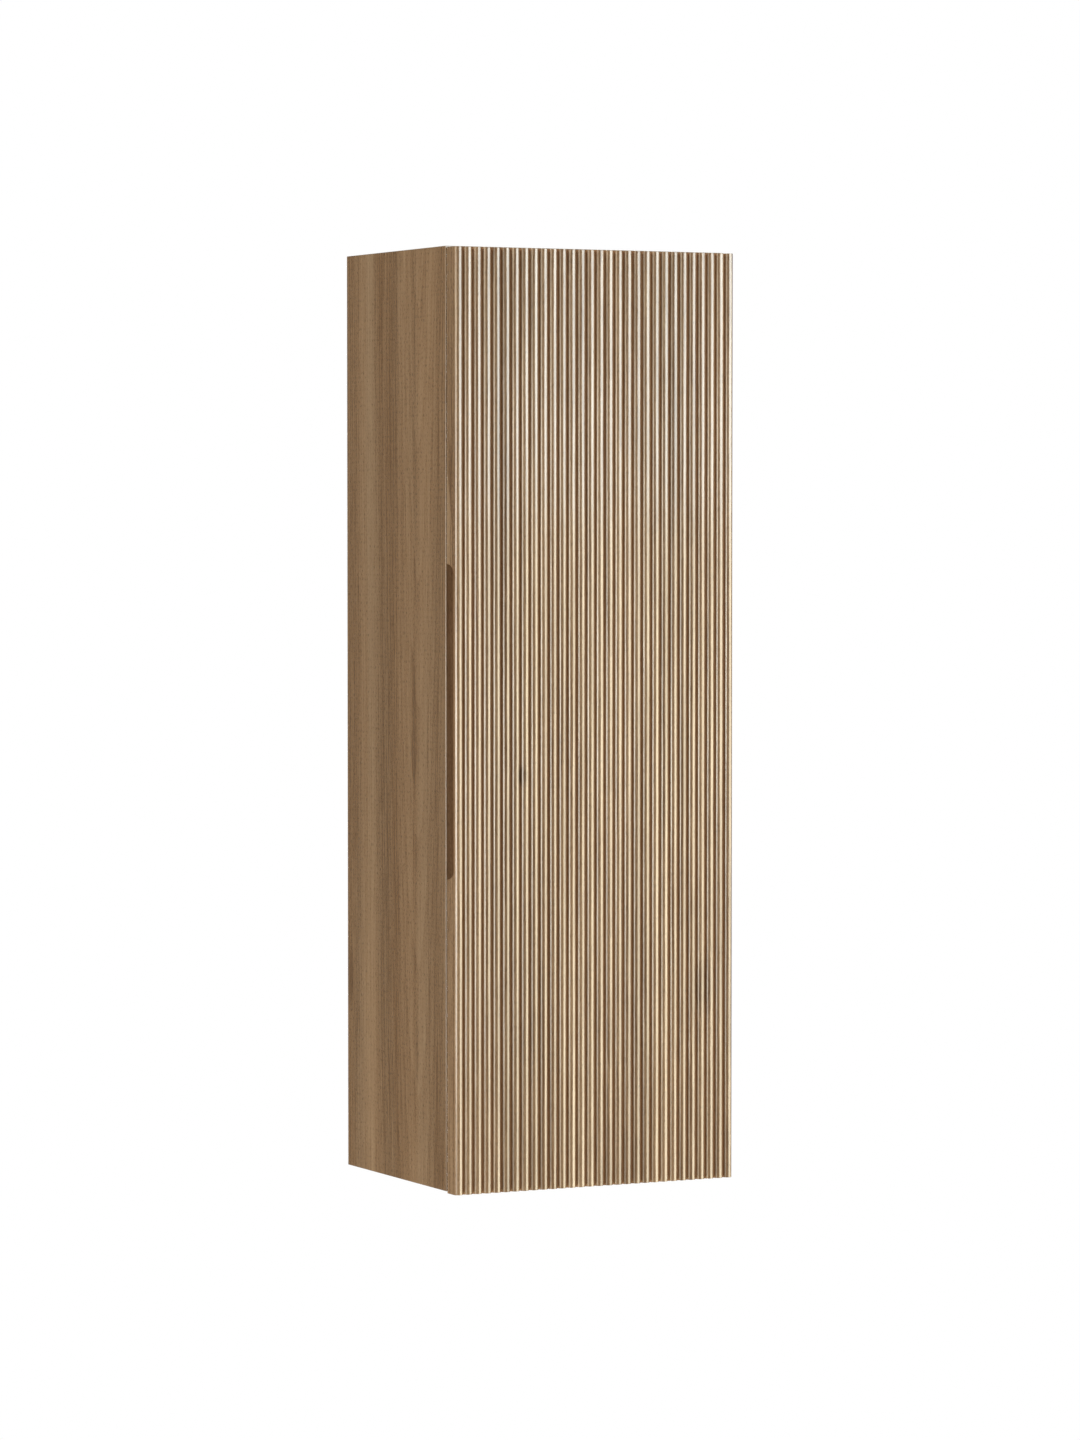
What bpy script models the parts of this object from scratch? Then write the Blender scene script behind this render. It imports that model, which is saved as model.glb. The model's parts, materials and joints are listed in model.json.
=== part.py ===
"""Wall cabinet with one ribbed door on concealed four-bar hinges.

Metres, +Z up, the front faces -Y. The origin lies on the wall face of the
hanging rail, in the middle of the cabinet's width.
"""

import math

import bmesh
import bpy
from mathutils import Matrix, Vector

# Clearances
seat_gap = 0.0003
cut_overrun = 0.002
weld_distance = 0.000003

# Body panels
body_width = 0.400
body_height = 1.200
body_depth = 0.300
panel_thickness = 0.016
panel_edge_radius = 0.0006
panel_edge_segments = 2

# Back panel, its grooves and the two rails behind it
back_thickness = 0.003
groove_depth = 0.008
rail_thickness = 0.016
hanging_rail_height = 0.100
hanging_rail_drop = 0.126
lower_rail_height = 0.080

# Wood dowels between the side panels and the boards that they hold
dowel_radius = 0.004
dowel_length = 0.032
dowel_bore_depth = 0.011
dowel_end_play = 0.0005
dowel_setback = 0.050
dowel_rail_inset = 0.020
dowel_facets = 8

# Shelves and the rows of holes that carry them
shelf_count = 3
shelf_thickness = 0.016
shelf_front_setback = 0.020
hole_row_setback = 0.037
hole_pitch = 0.032
hole_radius = 0.0025
hole_depth = 0.0095
holes_each_way = 1
peg_reach = 0.0085
pin_collar_radius = 0.004
pin_collar_thickness = 0.001
pin_nose_radius = 0.003
pin_nose_length = 0.008

# Cabinet hangers in the upper rear corners
hanger_width = 0.017
hanger_depth = 0.060
hanger_height = 0.044
hanger_drop = 0.008
hanger_nose = 0.014
hanger_screw_radius = 0.0035
hanger_screw_depth = 0.006
hook_thickness = 0.003
hook_height = 0.022
hook_root = 0.034
hook_lip_thickness = 0.004
hook_lip_drop = 0.013
hook_wall_clearance = 0.001
hook_slot_play = 0.002

# Door
door_gap = 0.0025
door_drop = 0.002
door_edge_thickness = 0.022
door_back_radius = 0.0025
door_back_segments = 3
rib_count = 30
rib_groove_width = 0.0024
rib_flank = 0.0008
rib_rise = 0.0044
rib_facets = 10

# Finger pull, milled into the door's free edge from behind
pull_length = 0.400
pull_lip = 0.0023
pull_reach = 0.013
pull_end_length = 0.012
pull_around = 32
pull_along = 15

# Bumpers on the back of the door
bumper_radius = 0.004
bumper_edge_distance = 0.008
bumper_facets = 20

# Hinge places, measured from the ends of the door and from its middle
hinge_end_distance = 0.100
middle_hinge_rise = 0.100

# Hinge pivots: "inward" from the body's outer side, "ahead" of its front edge
arm_outer_pivot_inward = 0.0345
arm_outer_pivot_behind = 0.022
arm_inner_pivot_inward = 0.038
arm_inner_pivot_behind = 0.0026
cup_outer_pivot_inward = 0.0101
cup_outer_pivot_depth = 0.0026
cup_inner_pivot_inward = 0.0138
cup_inner_pivot_depth = 0.0081
outer_knee_inward = 0.017
outer_knee_depth = 0.0075
inner_knee_inward = 0.0241
inner_knee_depth = 0.009

# Hinge links
pivot_radius = 0.0011
eye_radius = 0.0025
link_half_width = 0.0012
inner_link_half_height = 0.004
cheek_gap = 0.0006
cheek_thickness = 0.0015
bar_half_width = 0.0010
bar_start = 0.005
bar_length = 0.008
eye_facets = 10
pivot_facets = 14

# Hinge arm
arm_wall_thickness = 0.0015
arm_web_thickness = 0.0015
arm_web_inward = 0.0365
arm_length = 0.072
arm_web_front = 0.026
arm_foot_front = 0.032
arm_outer_eye_radius = 0.0032
arm_inner_eye_radius = 0.0028
rivet_proud = 0.0004

# Mounting plate
plate_thickness = 0.003
plate_wing_radius = 0.007
spine_front = 0.028
spine_rear = 0.062
spine_side_play = 0.0005

# Hinge cup
cup_inward = 0.0215
cup_bore_radius = 0.0175
cup_bore_depth = 0.0125
cup_wall = 0.001
cup_floor = 0.001
cup_foot_chamfer = 0.0012
cup_flange_thickness = 0.001
cup_flange_overlap = 0.0015
cup_wing_radius = 0.007
cup_wing_spacing = 0.045
cup_wing_offset = 0.0055
cup_facets = 32

# Round pieces
peg_facets = 12
hole_facets = 12
screw_facets = 16
smooth_angle = math.radians(35)
flat_angle = math.radians(1)
round_profile = 0.5
sides = ((-1, "left"), (1, "right"))

# Worked out from the sizes above
body_top = hanging_rail_drop
body_bottom = body_top - body_height
half_width = body_width / 2
inner_half_width = half_width - panel_thickness
inner_top = body_top - panel_thickness
inner_bottom = body_bottom + panel_thickness
body_front = -body_depth
back_rear_face = -rail_thickness - seat_gap
back_front_face = back_rear_face - back_thickness
door_back = body_front - door_gap
door_arris = door_back - door_edge_thickness
door_top = body_top - door_drop
door_bottom = body_bottom - door_drop
door_middle = (door_top + door_bottom) / 2
rib_width = (body_width - (rib_count - 1) * rib_groove_width) / rib_count
shelf_pitch = (inner_top - inner_bottom) / (shelf_count + 1)
shelf_rear = back_front_face - pin_collar_thickness
front_row = body_front + hole_row_setback
rear_row = shelf_rear - hole_row_setback
shelf_names = ("lower", "middle", "upper")
hinge_heights = {
    "lower": door_bottom + hinge_end_distance,
    "middle": door_middle + middle_hinge_rise,
    "upper": door_top - hinge_end_distance,
}
cheek_inner = inner_link_half_height + cheek_gap
cheek_outer = cheek_inner + cheek_thickness
arm_wall_inner = cheek_outer + cheek_gap
arm_wall_outer = arm_wall_inner + arm_wall_thickness


def clear_scene():
    for item in list(bpy.data.objects):
        bpy.data.objects.remove(item, do_unlink=True)


def make_material(name, colour, roughness, metallic):
    material = bpy.data.materials.new(name)
    material.use_nodes = True
    shader = material.node_tree.nodes["Principled BSDF"]
    shader.inputs["Base Color"].default_value = (*colour, 1.0)
    shader.inputs["Roughness"].default_value = roughness
    shader.inputs["Metallic"].default_value = metallic
    material.diffuse_color = (*colour, 1.0)
    return material


def object_from(bm, name, origin):
    """Turn a mesh under construction, in world places, into an object at origin."""
    bmesh.ops.translate(bm, vec=-Vector(origin), verts=bm.verts)
    bmesh.ops.recalc_face_normals(bm, faces=bm.faces)
    mesh = bpy.data.meshes.new(name)
    bm.to_mesh(mesh)
    bm.free()
    item = bpy.data.objects.new(name, mesh)
    item.location = origin
    bpy.context.collection.objects.link(item)
    return item


def block(name, low, high):
    """A box from one corner to the other, with its origin in its middle."""
    bm = bmesh.new()
    bmesh.ops.create_cube(bm, size=1.0)
    size = [b - a for a, b in zip(low, high)]
    middle = [(a + b) / 2 for a, b in zip(low, high)]
    bmesh.ops.scale(bm, vec=size, verts=bm.verts)
    bmesh.ops.translate(bm, vec=middle, verts=bm.verts)
    return object_from(bm, name, middle)


def prism(name, outline, low, high, along, origin):
    """Extrude an outline from low to high along X, Y or Z.

    The outline's two values are the remaining world axes in the order X, Y, Z.
    """
    place = {
        "X": lambda a, b, c: (c, a, b),
        "Y": lambda a, b, c: (a, c, b),
        "Z": lambda a, b, c: (a, b, c),
    }[along]
    bm = bmesh.new()
    face = bm.faces.new([bm.verts.new(place(a, b, low)) for a, b in outline])
    grown = bmesh.ops.extrude_face_region(bm, geom=[face])
    lifted = [g for g in grown["geom"] if isinstance(g, bmesh.types.BMVert)]
    bmesh.ops.translate(bm, vec=place(0, 0, high - low), verts=lifted)
    return object_from(bm, name, origin)


def turned(name, profile, facets, origin, toward):
    """Spin a profile of (radius, height) about an axis that points toward."""
    bm = bmesh.new()
    points = [bm.verts.new((radius, 0, height)) for radius, height in profile]
    edges = [bm.edges.new(pair) for pair in zip(points, points[1:])]
    bmesh.ops.spin(
        bm,
        geom=points + edges,
        axis=(0, 0, 1),
        cent=(0, 0, 0),
        angle=math.tau,
        steps=facets,
        use_merge=True,
    )
    bmesh.ops.remove_doubles(bm, verts=bm.verts, dist=weld_distance)
    turn = Vector((0, 0, 1)).rotation_difference(Vector(toward)).to_matrix()
    bmesh.ops.transform(bm, matrix=Matrix.Translation(origin) @ turn.to_4x4(), verts=bm.verts)
    return object_from(bm, name, origin)


def rod(name, radius, start, end, facets):
    """A plain cylinder between two points."""
    way = Vector(end) - Vector(start)
    profile = [(0, 0), (radius, 0), (radius, way.length), (0, way.length)]
    return turned(name, profile, facets, start, way.normalized())


def wrapped(name, circles, low, high, origin):
    """The smallest convex plate, flat in XY, around circles of (x, y, radius)."""
    bm = bmesh.new()
    for x, y, radius in circles:
        for step in range(pivot_facets):
            angle = math.tau * step / pivot_facets
            rim = (x + radius * math.cos(angle), y + radius * math.sin(angle))
            bm.verts.new((*rim, low))
            bm.verts.new((*rim, high))
    made = bmesh.ops.convex_hull(bm, input=bm.verts)
    spare = made["geom_interior"] + made["geom_unused"]
    spare_points = [g for g in set(spare) if isinstance(g, bmesh.types.BMVert)]
    bmesh.ops.delete(bm, geom=spare_points, context="VERTS")
    bmesh.ops.dissolve_limit(bm, angle_limit=flat_angle, verts=bm.verts, edges=bm.edges)
    return object_from(bm, name, origin)


def settle(item):
    """Replace an object's mesh by what its modifiers make of it."""
    bpy.context.view_layer.update()
    graph = bpy.context.evaluated_depsgraph_get()
    mesh = bpy.data.meshes.new_from_object(item.evaluated_get(graph))
    bm = bmesh.new()
    bm.from_mesh(mesh)
    bmesh.ops.remove_doubles(bm, verts=bm.verts, dist=weld_distance)
    bmesh.ops.dissolve_degenerate(bm, edges=bm.edges, dist=weld_distance)
    bm.to_mesh(mesh)
    bm.free()
    item.modifiers.clear()
    item.data = mesh


def combine(item, tools, operation):
    """Join or cut an object with tools, which are then taken away."""
    for tool in tools:
        tool.hide_render = True
        tool.display_type = "WIRE"
        modifier = item.modifiers.new(operation.lower(), "BOOLEAN")
        modifier.operation = operation
        modifier.solver = "EXACT"
        modifier.object = tool
    settle(item)
    for tool in tools:
        bpy.data.objects.remove(tool, do_unlink=True)


def cut(item, cutters):
    """Cut an object once, with all its separate cutters gathered into one."""
    bm = bmesh.new()
    for cutter in cutters:
        cutter.data.transform(Matrix.Translation(cutter.location))
        bm.from_mesh(cutter.data)
        bpy.data.objects.remove(cutter, do_unlink=True)
    combine(item, [object_from(bm, "cutters", item.location)], "DIFFERENCE")


def soften_edges(item):
    modifier = item.modifiers.new("edge softening", "BEVEL")
    modifier.width = panel_edge_radius
    modifier.segments = panel_edge_segments
    modifier.limit_method = "ANGLE"
    settle(item)


def finish(item, material, parent=None):
    item.data.materials.clear()
    item.data.materials.append(material)
    item.data.shade_smooth()
    item.data.set_sharp_from_angle(angle=smooth_angle)
    if parent is not None:
        place = item.location.copy()
        item.parent = parent
        item.location = place - parent.location
    return item


def pivot_empty(name, place):
    item = bpy.data.objects.new(name, None)
    item.location = place
    bpy.context.collection.objects.link(item)
    return item


def plan(inward, ahead):
    """World X and Y of a point given from the body's right front corner."""
    return (half_width - inward, body_front - ahead)


# Dowels


def dowel_places():
    """Where the dowels enter each board between the sides, as places (y, z)."""
    front = body_front + dowel_setback
    rear = back_front_face - dowel_setback
    rail = -rail_thickness / 2
    rail_spread = hanging_rail_height / 2 - dowel_rail_inset
    top = body_top - panel_thickness / 2
    bottom = body_bottom + panel_thickness / 2
    lower_rail = inner_bottom + seat_gap + lower_rail_height / 2
    return {
        "top_panel": {"front": (front, top), "rear": (rear, top)},
        "bottom_panel": {"front": (front, bottom), "rear": (rear, bottom)},
        "hanging_rail": {"upper": (rail, rail_spread), "lower": (rail, -rail_spread)},
        "lower_back_rail": {"middle": (rail, lower_rail)},
    }


def dowel_ends(side):
    """World X of a dowel's end in the side panel and of its end in the board."""
    outer = inner_half_width + dowel_bore_depth - dowel_end_play
    return side * outer, side * (outer - dowel_length)


def dowel_bore(start_x, end_x, place):
    radius = dowel_radius + seat_gap
    return rod("dowel bore cutter", radius, (start_x, *place), (end_x, *place), dowel_facets)


def side_panel_bores(side):
    """Cutters for all the dowel bores in the inner face of one side panel."""
    start = side * (inner_half_width - cut_overrun)
    end = side * (inner_half_width + dowel_bore_depth)
    cutters = []
    for places in dowel_places().values():
        for place in places.values():
            cutters.append(dowel_bore(start, end, place))
    return cutters


def board_end_bores(board_name):
    """Cutters for the dowel bores in both ends of a board between the sides."""
    cutters = []
    for side, _ in sides:
        start = side * (inner_half_width + cut_overrun)
        end = dowel_ends(side)[1] - side * dowel_end_play
        for place in dowel_places()[board_name].values():
            cutters.append(dowel_bore(start, end, place))
    return cutters


def make_dowel(name, side, place, material):
    outer_end, inner_end = dowel_ends(side)
    start = (outer_end, *place)
    end = (inner_end, *place)
    dowel = rod(name, dowel_radius, start, end, dowel_facets)
    return finish(dowel, material)


# Body


def panel_groove(low, high):
    """The cutter for the groove that holds one edge of the back panel."""
    return block("groove cutter", low, high)


def groove_rear():
    return back_rear_face + seat_gap


def groove_front():
    return back_front_face - seat_gap


def shelf_pin_heights():
    """Pin centres: a shelf's underside rests just above the noses of its pins."""
    heights = []
    for step in range(1, shelf_count + 1):
        underside = inner_bottom + step * shelf_pitch - shelf_thickness / 2
        heights.append(underside - seat_gap - pin_nose_radius)
    return heights


def side_holes(side):
    """Places (y, z) of all blind holes in the inner face of one side panel."""
    places = []
    for height in shelf_pin_heights():
        for step in range(-holes_each_way, holes_each_way + 1):
            for row in (front_row, rear_row):
                places.append((row, height + step * hole_pitch))
    if side > 0:
        for height in hinge_heights.values():
            for way in (-1, 1):
                places.append((front_row, height + way * hole_pitch / 2))
    return places


def make_side_panel(name, side, material):
    inner = side * inner_half_width
    outer = side * half_width
    low = (min(inner, outer), body_front, body_bottom)
    high = (max(inner, outer), 0, body_top)
    panel = block(name, low, high)
    soften_edges(panel)
    open_end = inner - side * cut_overrun
    cutters = [
        panel_groove(
            (min(open_end, inner + side * groove_depth), groove_front(), body_bottom - cut_overrun),
            (max(open_end, inner + side * groove_depth), groove_rear(), body_top + cut_overrun),
        )
    ]
    for y, z in side_holes(side):
        start = (open_end, y, z)
        end = (inner + side * hole_depth, y, z)
        cutters.append(rod("hole cutter", hole_radius, start, end, hole_facets))
    cutters += side_panel_bores(side)
    cut(panel, cutters)
    return finish(panel, material)


def make_end_panel(name, low_z, high_z, groove_at_top, material):
    """Top or bottom panel, held between the two sides."""
    reach = inner_half_width - seat_gap
    panel = block(name, (-reach, body_front, low_z), (reach, 0, high_z))
    soften_edges(panel)
    if groove_at_top:
        groove_z = (high_z - groove_depth, high_z + cut_overrun)
    else:
        groove_z = (low_z - cut_overrun, low_z + groove_depth)
    cutter = panel_groove(
        (-half_width, groove_front(), groove_z[0]),
        (half_width, groove_rear(), groove_z[1]),
    )
    cut(panel, [cutter, *board_end_bores(name)])
    return finish(panel, material)


def hanger_middle():
    """World X of the left hanger's middle (unsigned), and its height."""
    x = inner_half_width - seat_gap - hanger_width / 2
    z = inner_top - hanger_drop - hanger_height / 2
    return x, z


def make_back_panel(material):
    tongue = groove_depth - seat_gap
    reach = inner_half_width + tongue
    panel = block(
        "back_panel",
        (-reach, back_front_face, inner_bottom - tongue),
        (reach, back_rear_face, inner_top + tongue),
    )
    x, z = hanger_middle()
    half_slot = hook_thickness / 2 + hook_slot_play
    half_rise = hook_height / 2 + hook_slot_play
    slots = []
    for side, _ in sides:
        slots.append(
            block(
                "hook slot cutter",
                (side * x - half_slot, back_front_face - cut_overrun, z - half_rise),
                (side * x + half_slot, back_rear_face + cut_overrun, z + half_rise),
            )
        )
    cut(panel, slots)
    return finish(panel, material)


def make_rail(name, low_z, high_z, material):
    reach = inner_half_width - seat_gap
    rail = block(name, (-reach, -rail_thickness, low_z), (reach, 0, high_z))
    soften_edges(rail)
    cut(rail, board_end_bores(name))
    return finish(rail, material)


# Shelves


def make_shelf(name, pin_height, material):
    reach = inner_half_width - seat_gap - pin_collar_thickness - seat_gap
    underside = pin_height + pin_nose_radius + seat_gap
    shelf = block(
        name,
        (-reach, body_front + shelf_front_setback, underside),
        (reach, shelf_rear, underside + shelf_thickness),
    )
    soften_edges(shelf)
    return finish(shelf, material)


def make_shelf_pin(name, side, y, z, material):
    """A turned pin: a peg in the panel, a collar on its face and a nose."""
    peg_radius = hole_radius - seat_gap
    collar_start = peg_reach + seat_gap
    collar_end = collar_start + pin_collar_thickness
    nose_end = collar_end + pin_nose_length
    profile = [
        (0, 0),
        (peg_radius, 0),
        (peg_radius, collar_start),
        (pin_collar_radius, collar_start),
        (pin_collar_radius, collar_end),
        (pin_nose_radius, collar_end),
        (pin_nose_radius, nose_end),
        (0, nose_end),
    ]
    start = (side * (inner_half_width + peg_reach), y, z)
    pin = turned(name, profile, peg_facets, start, (-side, 0, 0))
    return finish(pin, material)


# Hangers


def hanger_rear():
    return back_front_face - seat_gap


def make_hanger_housing(name, side, material):
    """A moulded box on the side panel, sloped at its lower front corner."""
    x, z = hanger_middle()
    rear = hanger_rear()
    front = rear - hanger_depth
    low = z - hanger_height / 2
    high = z + hanger_height / 2
    outline = [
        (rear, low),
        (rear, high),
        (front, high),
        (front, low + hanger_nose),
        (front + hanger_nose, low),
    ]
    start = side * x - hanger_width / 2
    housing = prism(name, outline, start, start + hanger_width, "X", (side * x, rear, z))
    soften_edges(housing)
    half_slot = hook_thickness / 2 + seat_gap
    half_rise = hook_height / 2 + seat_gap
    cutters = [
        block(
            "hook pocket cutter",
            (side * x - half_slot, rear - hook_root - seat_gap, z - half_rise),
            (side * x + half_slot, rear + cut_overrun, z + half_rise),
        )
    ]
    for way in (0, 1):
        height = z + way * hook_height / 2
        start = (side * x, front - cut_overrun, height)
        end = (side * x, front + hanger_screw_depth, height)
        cutters.append(rod("screw well cutter", hanger_screw_radius, start, end, screw_facets))
    cut(housing, cutters)
    return finish(housing, material)


def make_hanger_hook(name, side, material):
    """A flat steel hook that reaches through the back panel, open downwards."""
    x, z = hanger_middle()
    root = hanger_rear() - hook_root
    tip = -hook_wall_clearance
    lip_front = tip - hook_lip_thickness
    top = z + hook_height / 2
    bottom = z - hook_height / 2
    outline = [
        (root, bottom),
        (root, top),
        (tip, top),
        (tip, bottom - hook_lip_drop),
        (lip_front, bottom - hook_lip_drop),
        (lip_front, bottom),
    ]
    start = side * x - hook_thickness / 2
    hook = prism(name, outline, start, start + hook_thickness, "X", (side * x, tip, z))
    return finish(hook, material)


# Door


def rib_points():
    """The ribbed front of the door, from its left edge to its right edge."""
    points = []
    floor = door_arris + rib_flank
    for rib in range(rib_count):
        left = -half_width + rib * (rib_width + rib_groove_width)
        if rib > 0:
            points.append((left, floor))
        for step in range(rib_facets + 1):
            turn = math.pi * step / rib_facets
            across = left + rib_width / 2 * (1 - math.cos(turn))
            points.append((across, door_arris - rib_rise * math.sin(turn)))
        if rib < rib_count - 1:
            points.append((left + rib_width, floor))
    return points


def round_door_back(door):
    """Round the four edges of the door's back."""
    bm = bmesh.new()
    bm.from_mesh(door.data)
    back = door_back - door.location.y
    edges = [e for e in bm.edges if all(abs(v.co.y - back) < seat_gap for v in e.verts)]
    bmesh.ops.bevel(
        bm,
        geom=edges,
        offset=door_back_radius,
        segments=door_back_segments,
        profile=round_profile,
        affect="EDGES",
    )
    bm.to_mesh(door.data)
    bm.free()


def finger_pull_cutter():
    """A long round-nosed hollow along the free edge, open at the back."""
    bm = bmesh.new()
    bmesh.ops.create_uvsphere(bm, u_segments=pull_around, v_segments=pull_along, radius=1.0)
    depth = door_edge_thickness - pull_lip
    bmesh.ops.scale(bm, vec=(pull_reach, depth, pull_end_length), verts=bm.verts)
    stretch = pull_length / 2 - pull_end_length
    for way in (-1, 1):
        half = [v for v in bm.verts if v.co.z * way > 0]
        bmesh.ops.translate(bm, vec=(0, 0, way * stretch), verts=half)
    middle = (-half_width, door_back, door_middle)
    bmesh.ops.translate(bm, vec=middle, verts=bm.verts)
    return object_from(bm, "finger pull cutter", middle)


def cup_place(height):
    x, _ = plan(cup_inward, 0)
    return (x, door_back, height)


def make_door(material, pivot):
    outline = [(half_width, door_back), (-half_width, door_back)] + rib_points()
    origin = (0, door_back, door_middle)
    door = prism("door_panel", outline, door_bottom, door_top, "Z", origin)
    round_door_back(door)
    cutters = [finger_pull_cutter()]
    for height in hinge_heights.values():
        x, y, z = cup_place(height)
        start = (x, y + cut_overrun, z)
        end = (x, y - cup_bore_depth, z)
        cutters.append(rod("cup bore cutter", cup_bore_radius, start, end, cup_facets))
    cut(door, cutters)
    return finish(door, material, pivot)


def make_bumper(name, z, material, pivot):
    """A soft round pad on the back of the door, facing the left side's edge."""
    x = -half_width + bumper_edge_distance
    start = (x, door_back + seat_gap, z)
    end = (x, body_front - seat_gap, z)
    bumper = rod(name, bumper_radius, start, end, bumper_facets)
    return finish(bumper, material, pivot)


# Hinges


def arm_outer_pivot():
    return plan(arm_outer_pivot_inward, -arm_outer_pivot_behind)


def arm_inner_pivot():
    return plan(arm_inner_pivot_inward, -arm_inner_pivot_behind)


def cup_outer_pivot():
    return plan(cup_outer_pivot_inward, door_gap + cup_outer_pivot_depth)


def cup_inner_pivot():
    return plan(cup_inner_pivot_inward, door_gap + cup_inner_pivot_depth)


def outer_knee():
    return plan(outer_knee_inward, door_gap + outer_knee_depth)


def inner_knee():
    return plan(inner_knee_inward, door_gap + inner_knee_depth)


def link_outline(first, knee, last, half):
    """A bent link in plan: a round eye at each end and a narrower body."""
    first, knee, last = Vector(first), Vector(knee), Vector(last)
    out_way = (knee - first).normalized()
    in_way = (last - knee).normalized()
    spread = math.asin(half / eye_radius)

    def eye(centre, toward_body):
        start = math.atan2(toward_body.y, toward_body.x) + spread
        sweep = math.tau - 2 * spread
        angles = [start + sweep * step / eye_facets for step in range(eye_facets + 1)]
        return [
            (centre.x + eye_radius * math.cos(a), centre.y + eye_radius * math.sin(a))
            for a in angles
        ]

    right_out = Vector((out_way.y, -out_way.x))
    right_in = Vector((in_way.y, -in_way.x))
    mitre = (right_out + right_in) * (half / (1 + right_out.dot(right_in)))
    right_knee = knee + mitre
    left_knee = knee - mitre
    outline = eye(first, out_way)
    outline.append((right_knee.x, right_knee.y))
    outline += eye(last, -in_way)
    outline.append((left_knee.x, left_knee.y))
    return outline


def upright_rod(name, radius, place, middle_z, half_height, facets):
    x, y = place
    start = (x, y, middle_z - half_height)
    end = (x, y, middle_z + half_height)
    return rod(name, radius, start, end, facets)


def pivot_hole(place, middle_z, half_height):
    reach = half_height + cut_overrun
    radius = pivot_radius + seat_gap
    return upright_rod("pivot hole cutter", radius, place, middle_z, reach, pivot_facets)


def cross_bar(middle_z):
    """The bar that joins the two cheeks of the outer link, behind the inner pin."""
    first = Vector(arm_outer_pivot())
    way = (Vector(outer_knee()) - first).normalized()
    side = Vector((way.y, -way.x)) * bar_half_width
    near = first + way * bar_start
    far = near + way * bar_length
    corners = [near + side, far + side, far - side, near - side]
    reach = (cheek_inner + cheek_outer) / 2
    outline = [(c.x, c.y) for c in corners]
    origin = (near.x, near.y, middle_z)
    return prism("cross bar", outline, middle_z - reach, middle_z + reach, "Z", origin)


def make_outer_link(name, middle_z, material, pivot):
    """Two bent cheeks joined by a bar, turning on the rear arm pin."""
    outline = link_outline(arm_outer_pivot(), outer_knee(), cup_outer_pivot(), link_half_width)
    origin = (*arm_outer_pivot(), middle_z)
    lower = prism(
        name, outline, middle_z - cheek_outer, middle_z - cheek_inner, "Z", origin
    )
    upper = prism(
        "upper cheek", outline, middle_z + cheek_inner, middle_z + cheek_outer, "Z", origin
    )
    combine(lower, [cross_bar(middle_z), upper], "UNION")
    holes = [
        pivot_hole(arm_outer_pivot(), middle_z, cheek_outer),
        pivot_hole(cup_outer_pivot(), middle_z, cheek_outer),
    ]
    cut(lower, holes)
    return finish(lower, material, pivot)


def make_inner_link(name, middle_z, material, pivot):
    """The solid inner link. Its cup end carries its own pin, which stays open."""
    outline = link_outline(arm_inner_pivot(), inner_knee(), cup_inner_pivot(), link_half_width)
    origin = (*arm_inner_pivot(), middle_z)
    reach = inner_link_half_height
    link = prism(name, outline, middle_z - reach, middle_z + reach, "Z", origin)
    cut(link, [pivot_hole(arm_inner_pivot(), middle_z, reach)])
    return finish(link, material, pivot)


def plate_outer_face():
    """Distance inward of the mounting plate's visible face."""
    return panel_thickness + seat_gap + plate_thickness


def make_arm(name, middle_z, material):
    """A channel over the mounting plate, with two pins riveted into its walls."""
    foot = plate_outer_face() + seat_gap
    back_corner = plan(arm_web_inward, -arm_length)
    foot_corner = plan(foot, -arm_length)
    foot_front = plan(foot, -arm_foot_front)
    circles = [
        (*arm_outer_pivot(), arm_outer_eye_radius),
        (*arm_inner_pivot(), arm_inner_eye_radius),
        (*back_corner, 0),
        (*foot_corner, 0),
        (*foot_front, 0),
    ]
    origin = (*arm_outer_pivot(), middle_z)
    inner, outer = arm_wall_inner, arm_wall_outer
    lower = wrapped(name, circles, middle_z - outer, middle_z - inner, origin)
    upper = wrapped("upper wall", circles, middle_z + inner, middle_z + outer, origin)
    web_x, web_y = back_corner
    front_y = plan(0, -arm_web_front)[1]
    web_reach = (inner + outer) / 2
    web = block(
        "arm web",
        (web_x + seat_gap, front_y, middle_z - web_reach),
        (web_x + seat_gap + arm_web_thickness, web_y - seat_gap, middle_z + web_reach),
    )
    pin_reach = outer + rivet_proud
    pins = [
        upright_rod("pin", pivot_radius, place, middle_z, pin_reach, pivot_facets)
        for place in (arm_outer_pivot(), arm_inner_pivot())
    ]
    combine(lower, [web, *pins, upper], "UNION")
    return finish(lower, material)


def capsule(centre_a, centre_b, half_length, radius):
    """Outline of a long round-ended shape along the second axis."""
    points = []
    for end in (1, -1):
        for step in range(eye_facets + 1):
            angle = math.pi * step / eye_facets + (0 if end > 0 else math.pi)
            a = centre_a + radius * math.cos(angle)
            b = centre_b + end * half_length + radius * math.sin(angle)
            points.append((a, b))
    return points


def make_mounting_plate(name, middle_z, material):
    """Two wings on the side panel, a spine for the arm and two pegs."""
    face = inner_half_width - seat_gap
    wing = capsule(front_row, middle_z, hole_pitch / 2, plate_wing_radius)
    origin = (face, front_row, middle_z)
    plate = prism(name, wing, face - plate_thickness, face, "X", origin)
    spine_top = plan(arm_web_inward - arm_web_thickness - seat_gap, 0)[0]
    spine_half = arm_wall_inner - spine_side_play
    parts = [
        block(
            "spine",
            (spine_top, body_front + spine_front, middle_z - spine_half),
            (face, body_front + spine_rear, middle_z + spine_half),
        )
    ]
    for way in (-1, 1):
        z = middle_z + way * hole_pitch / 2
        start = (face - plate_thickness / 2, front_row, z)
        end = (inner_half_width + peg_reach, front_row, z)
        parts.append(rod("peg", hole_radius - seat_gap, start, end, peg_facets))
    combine(plate, parts, "UNION")
    return finish(plate, material)


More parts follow.
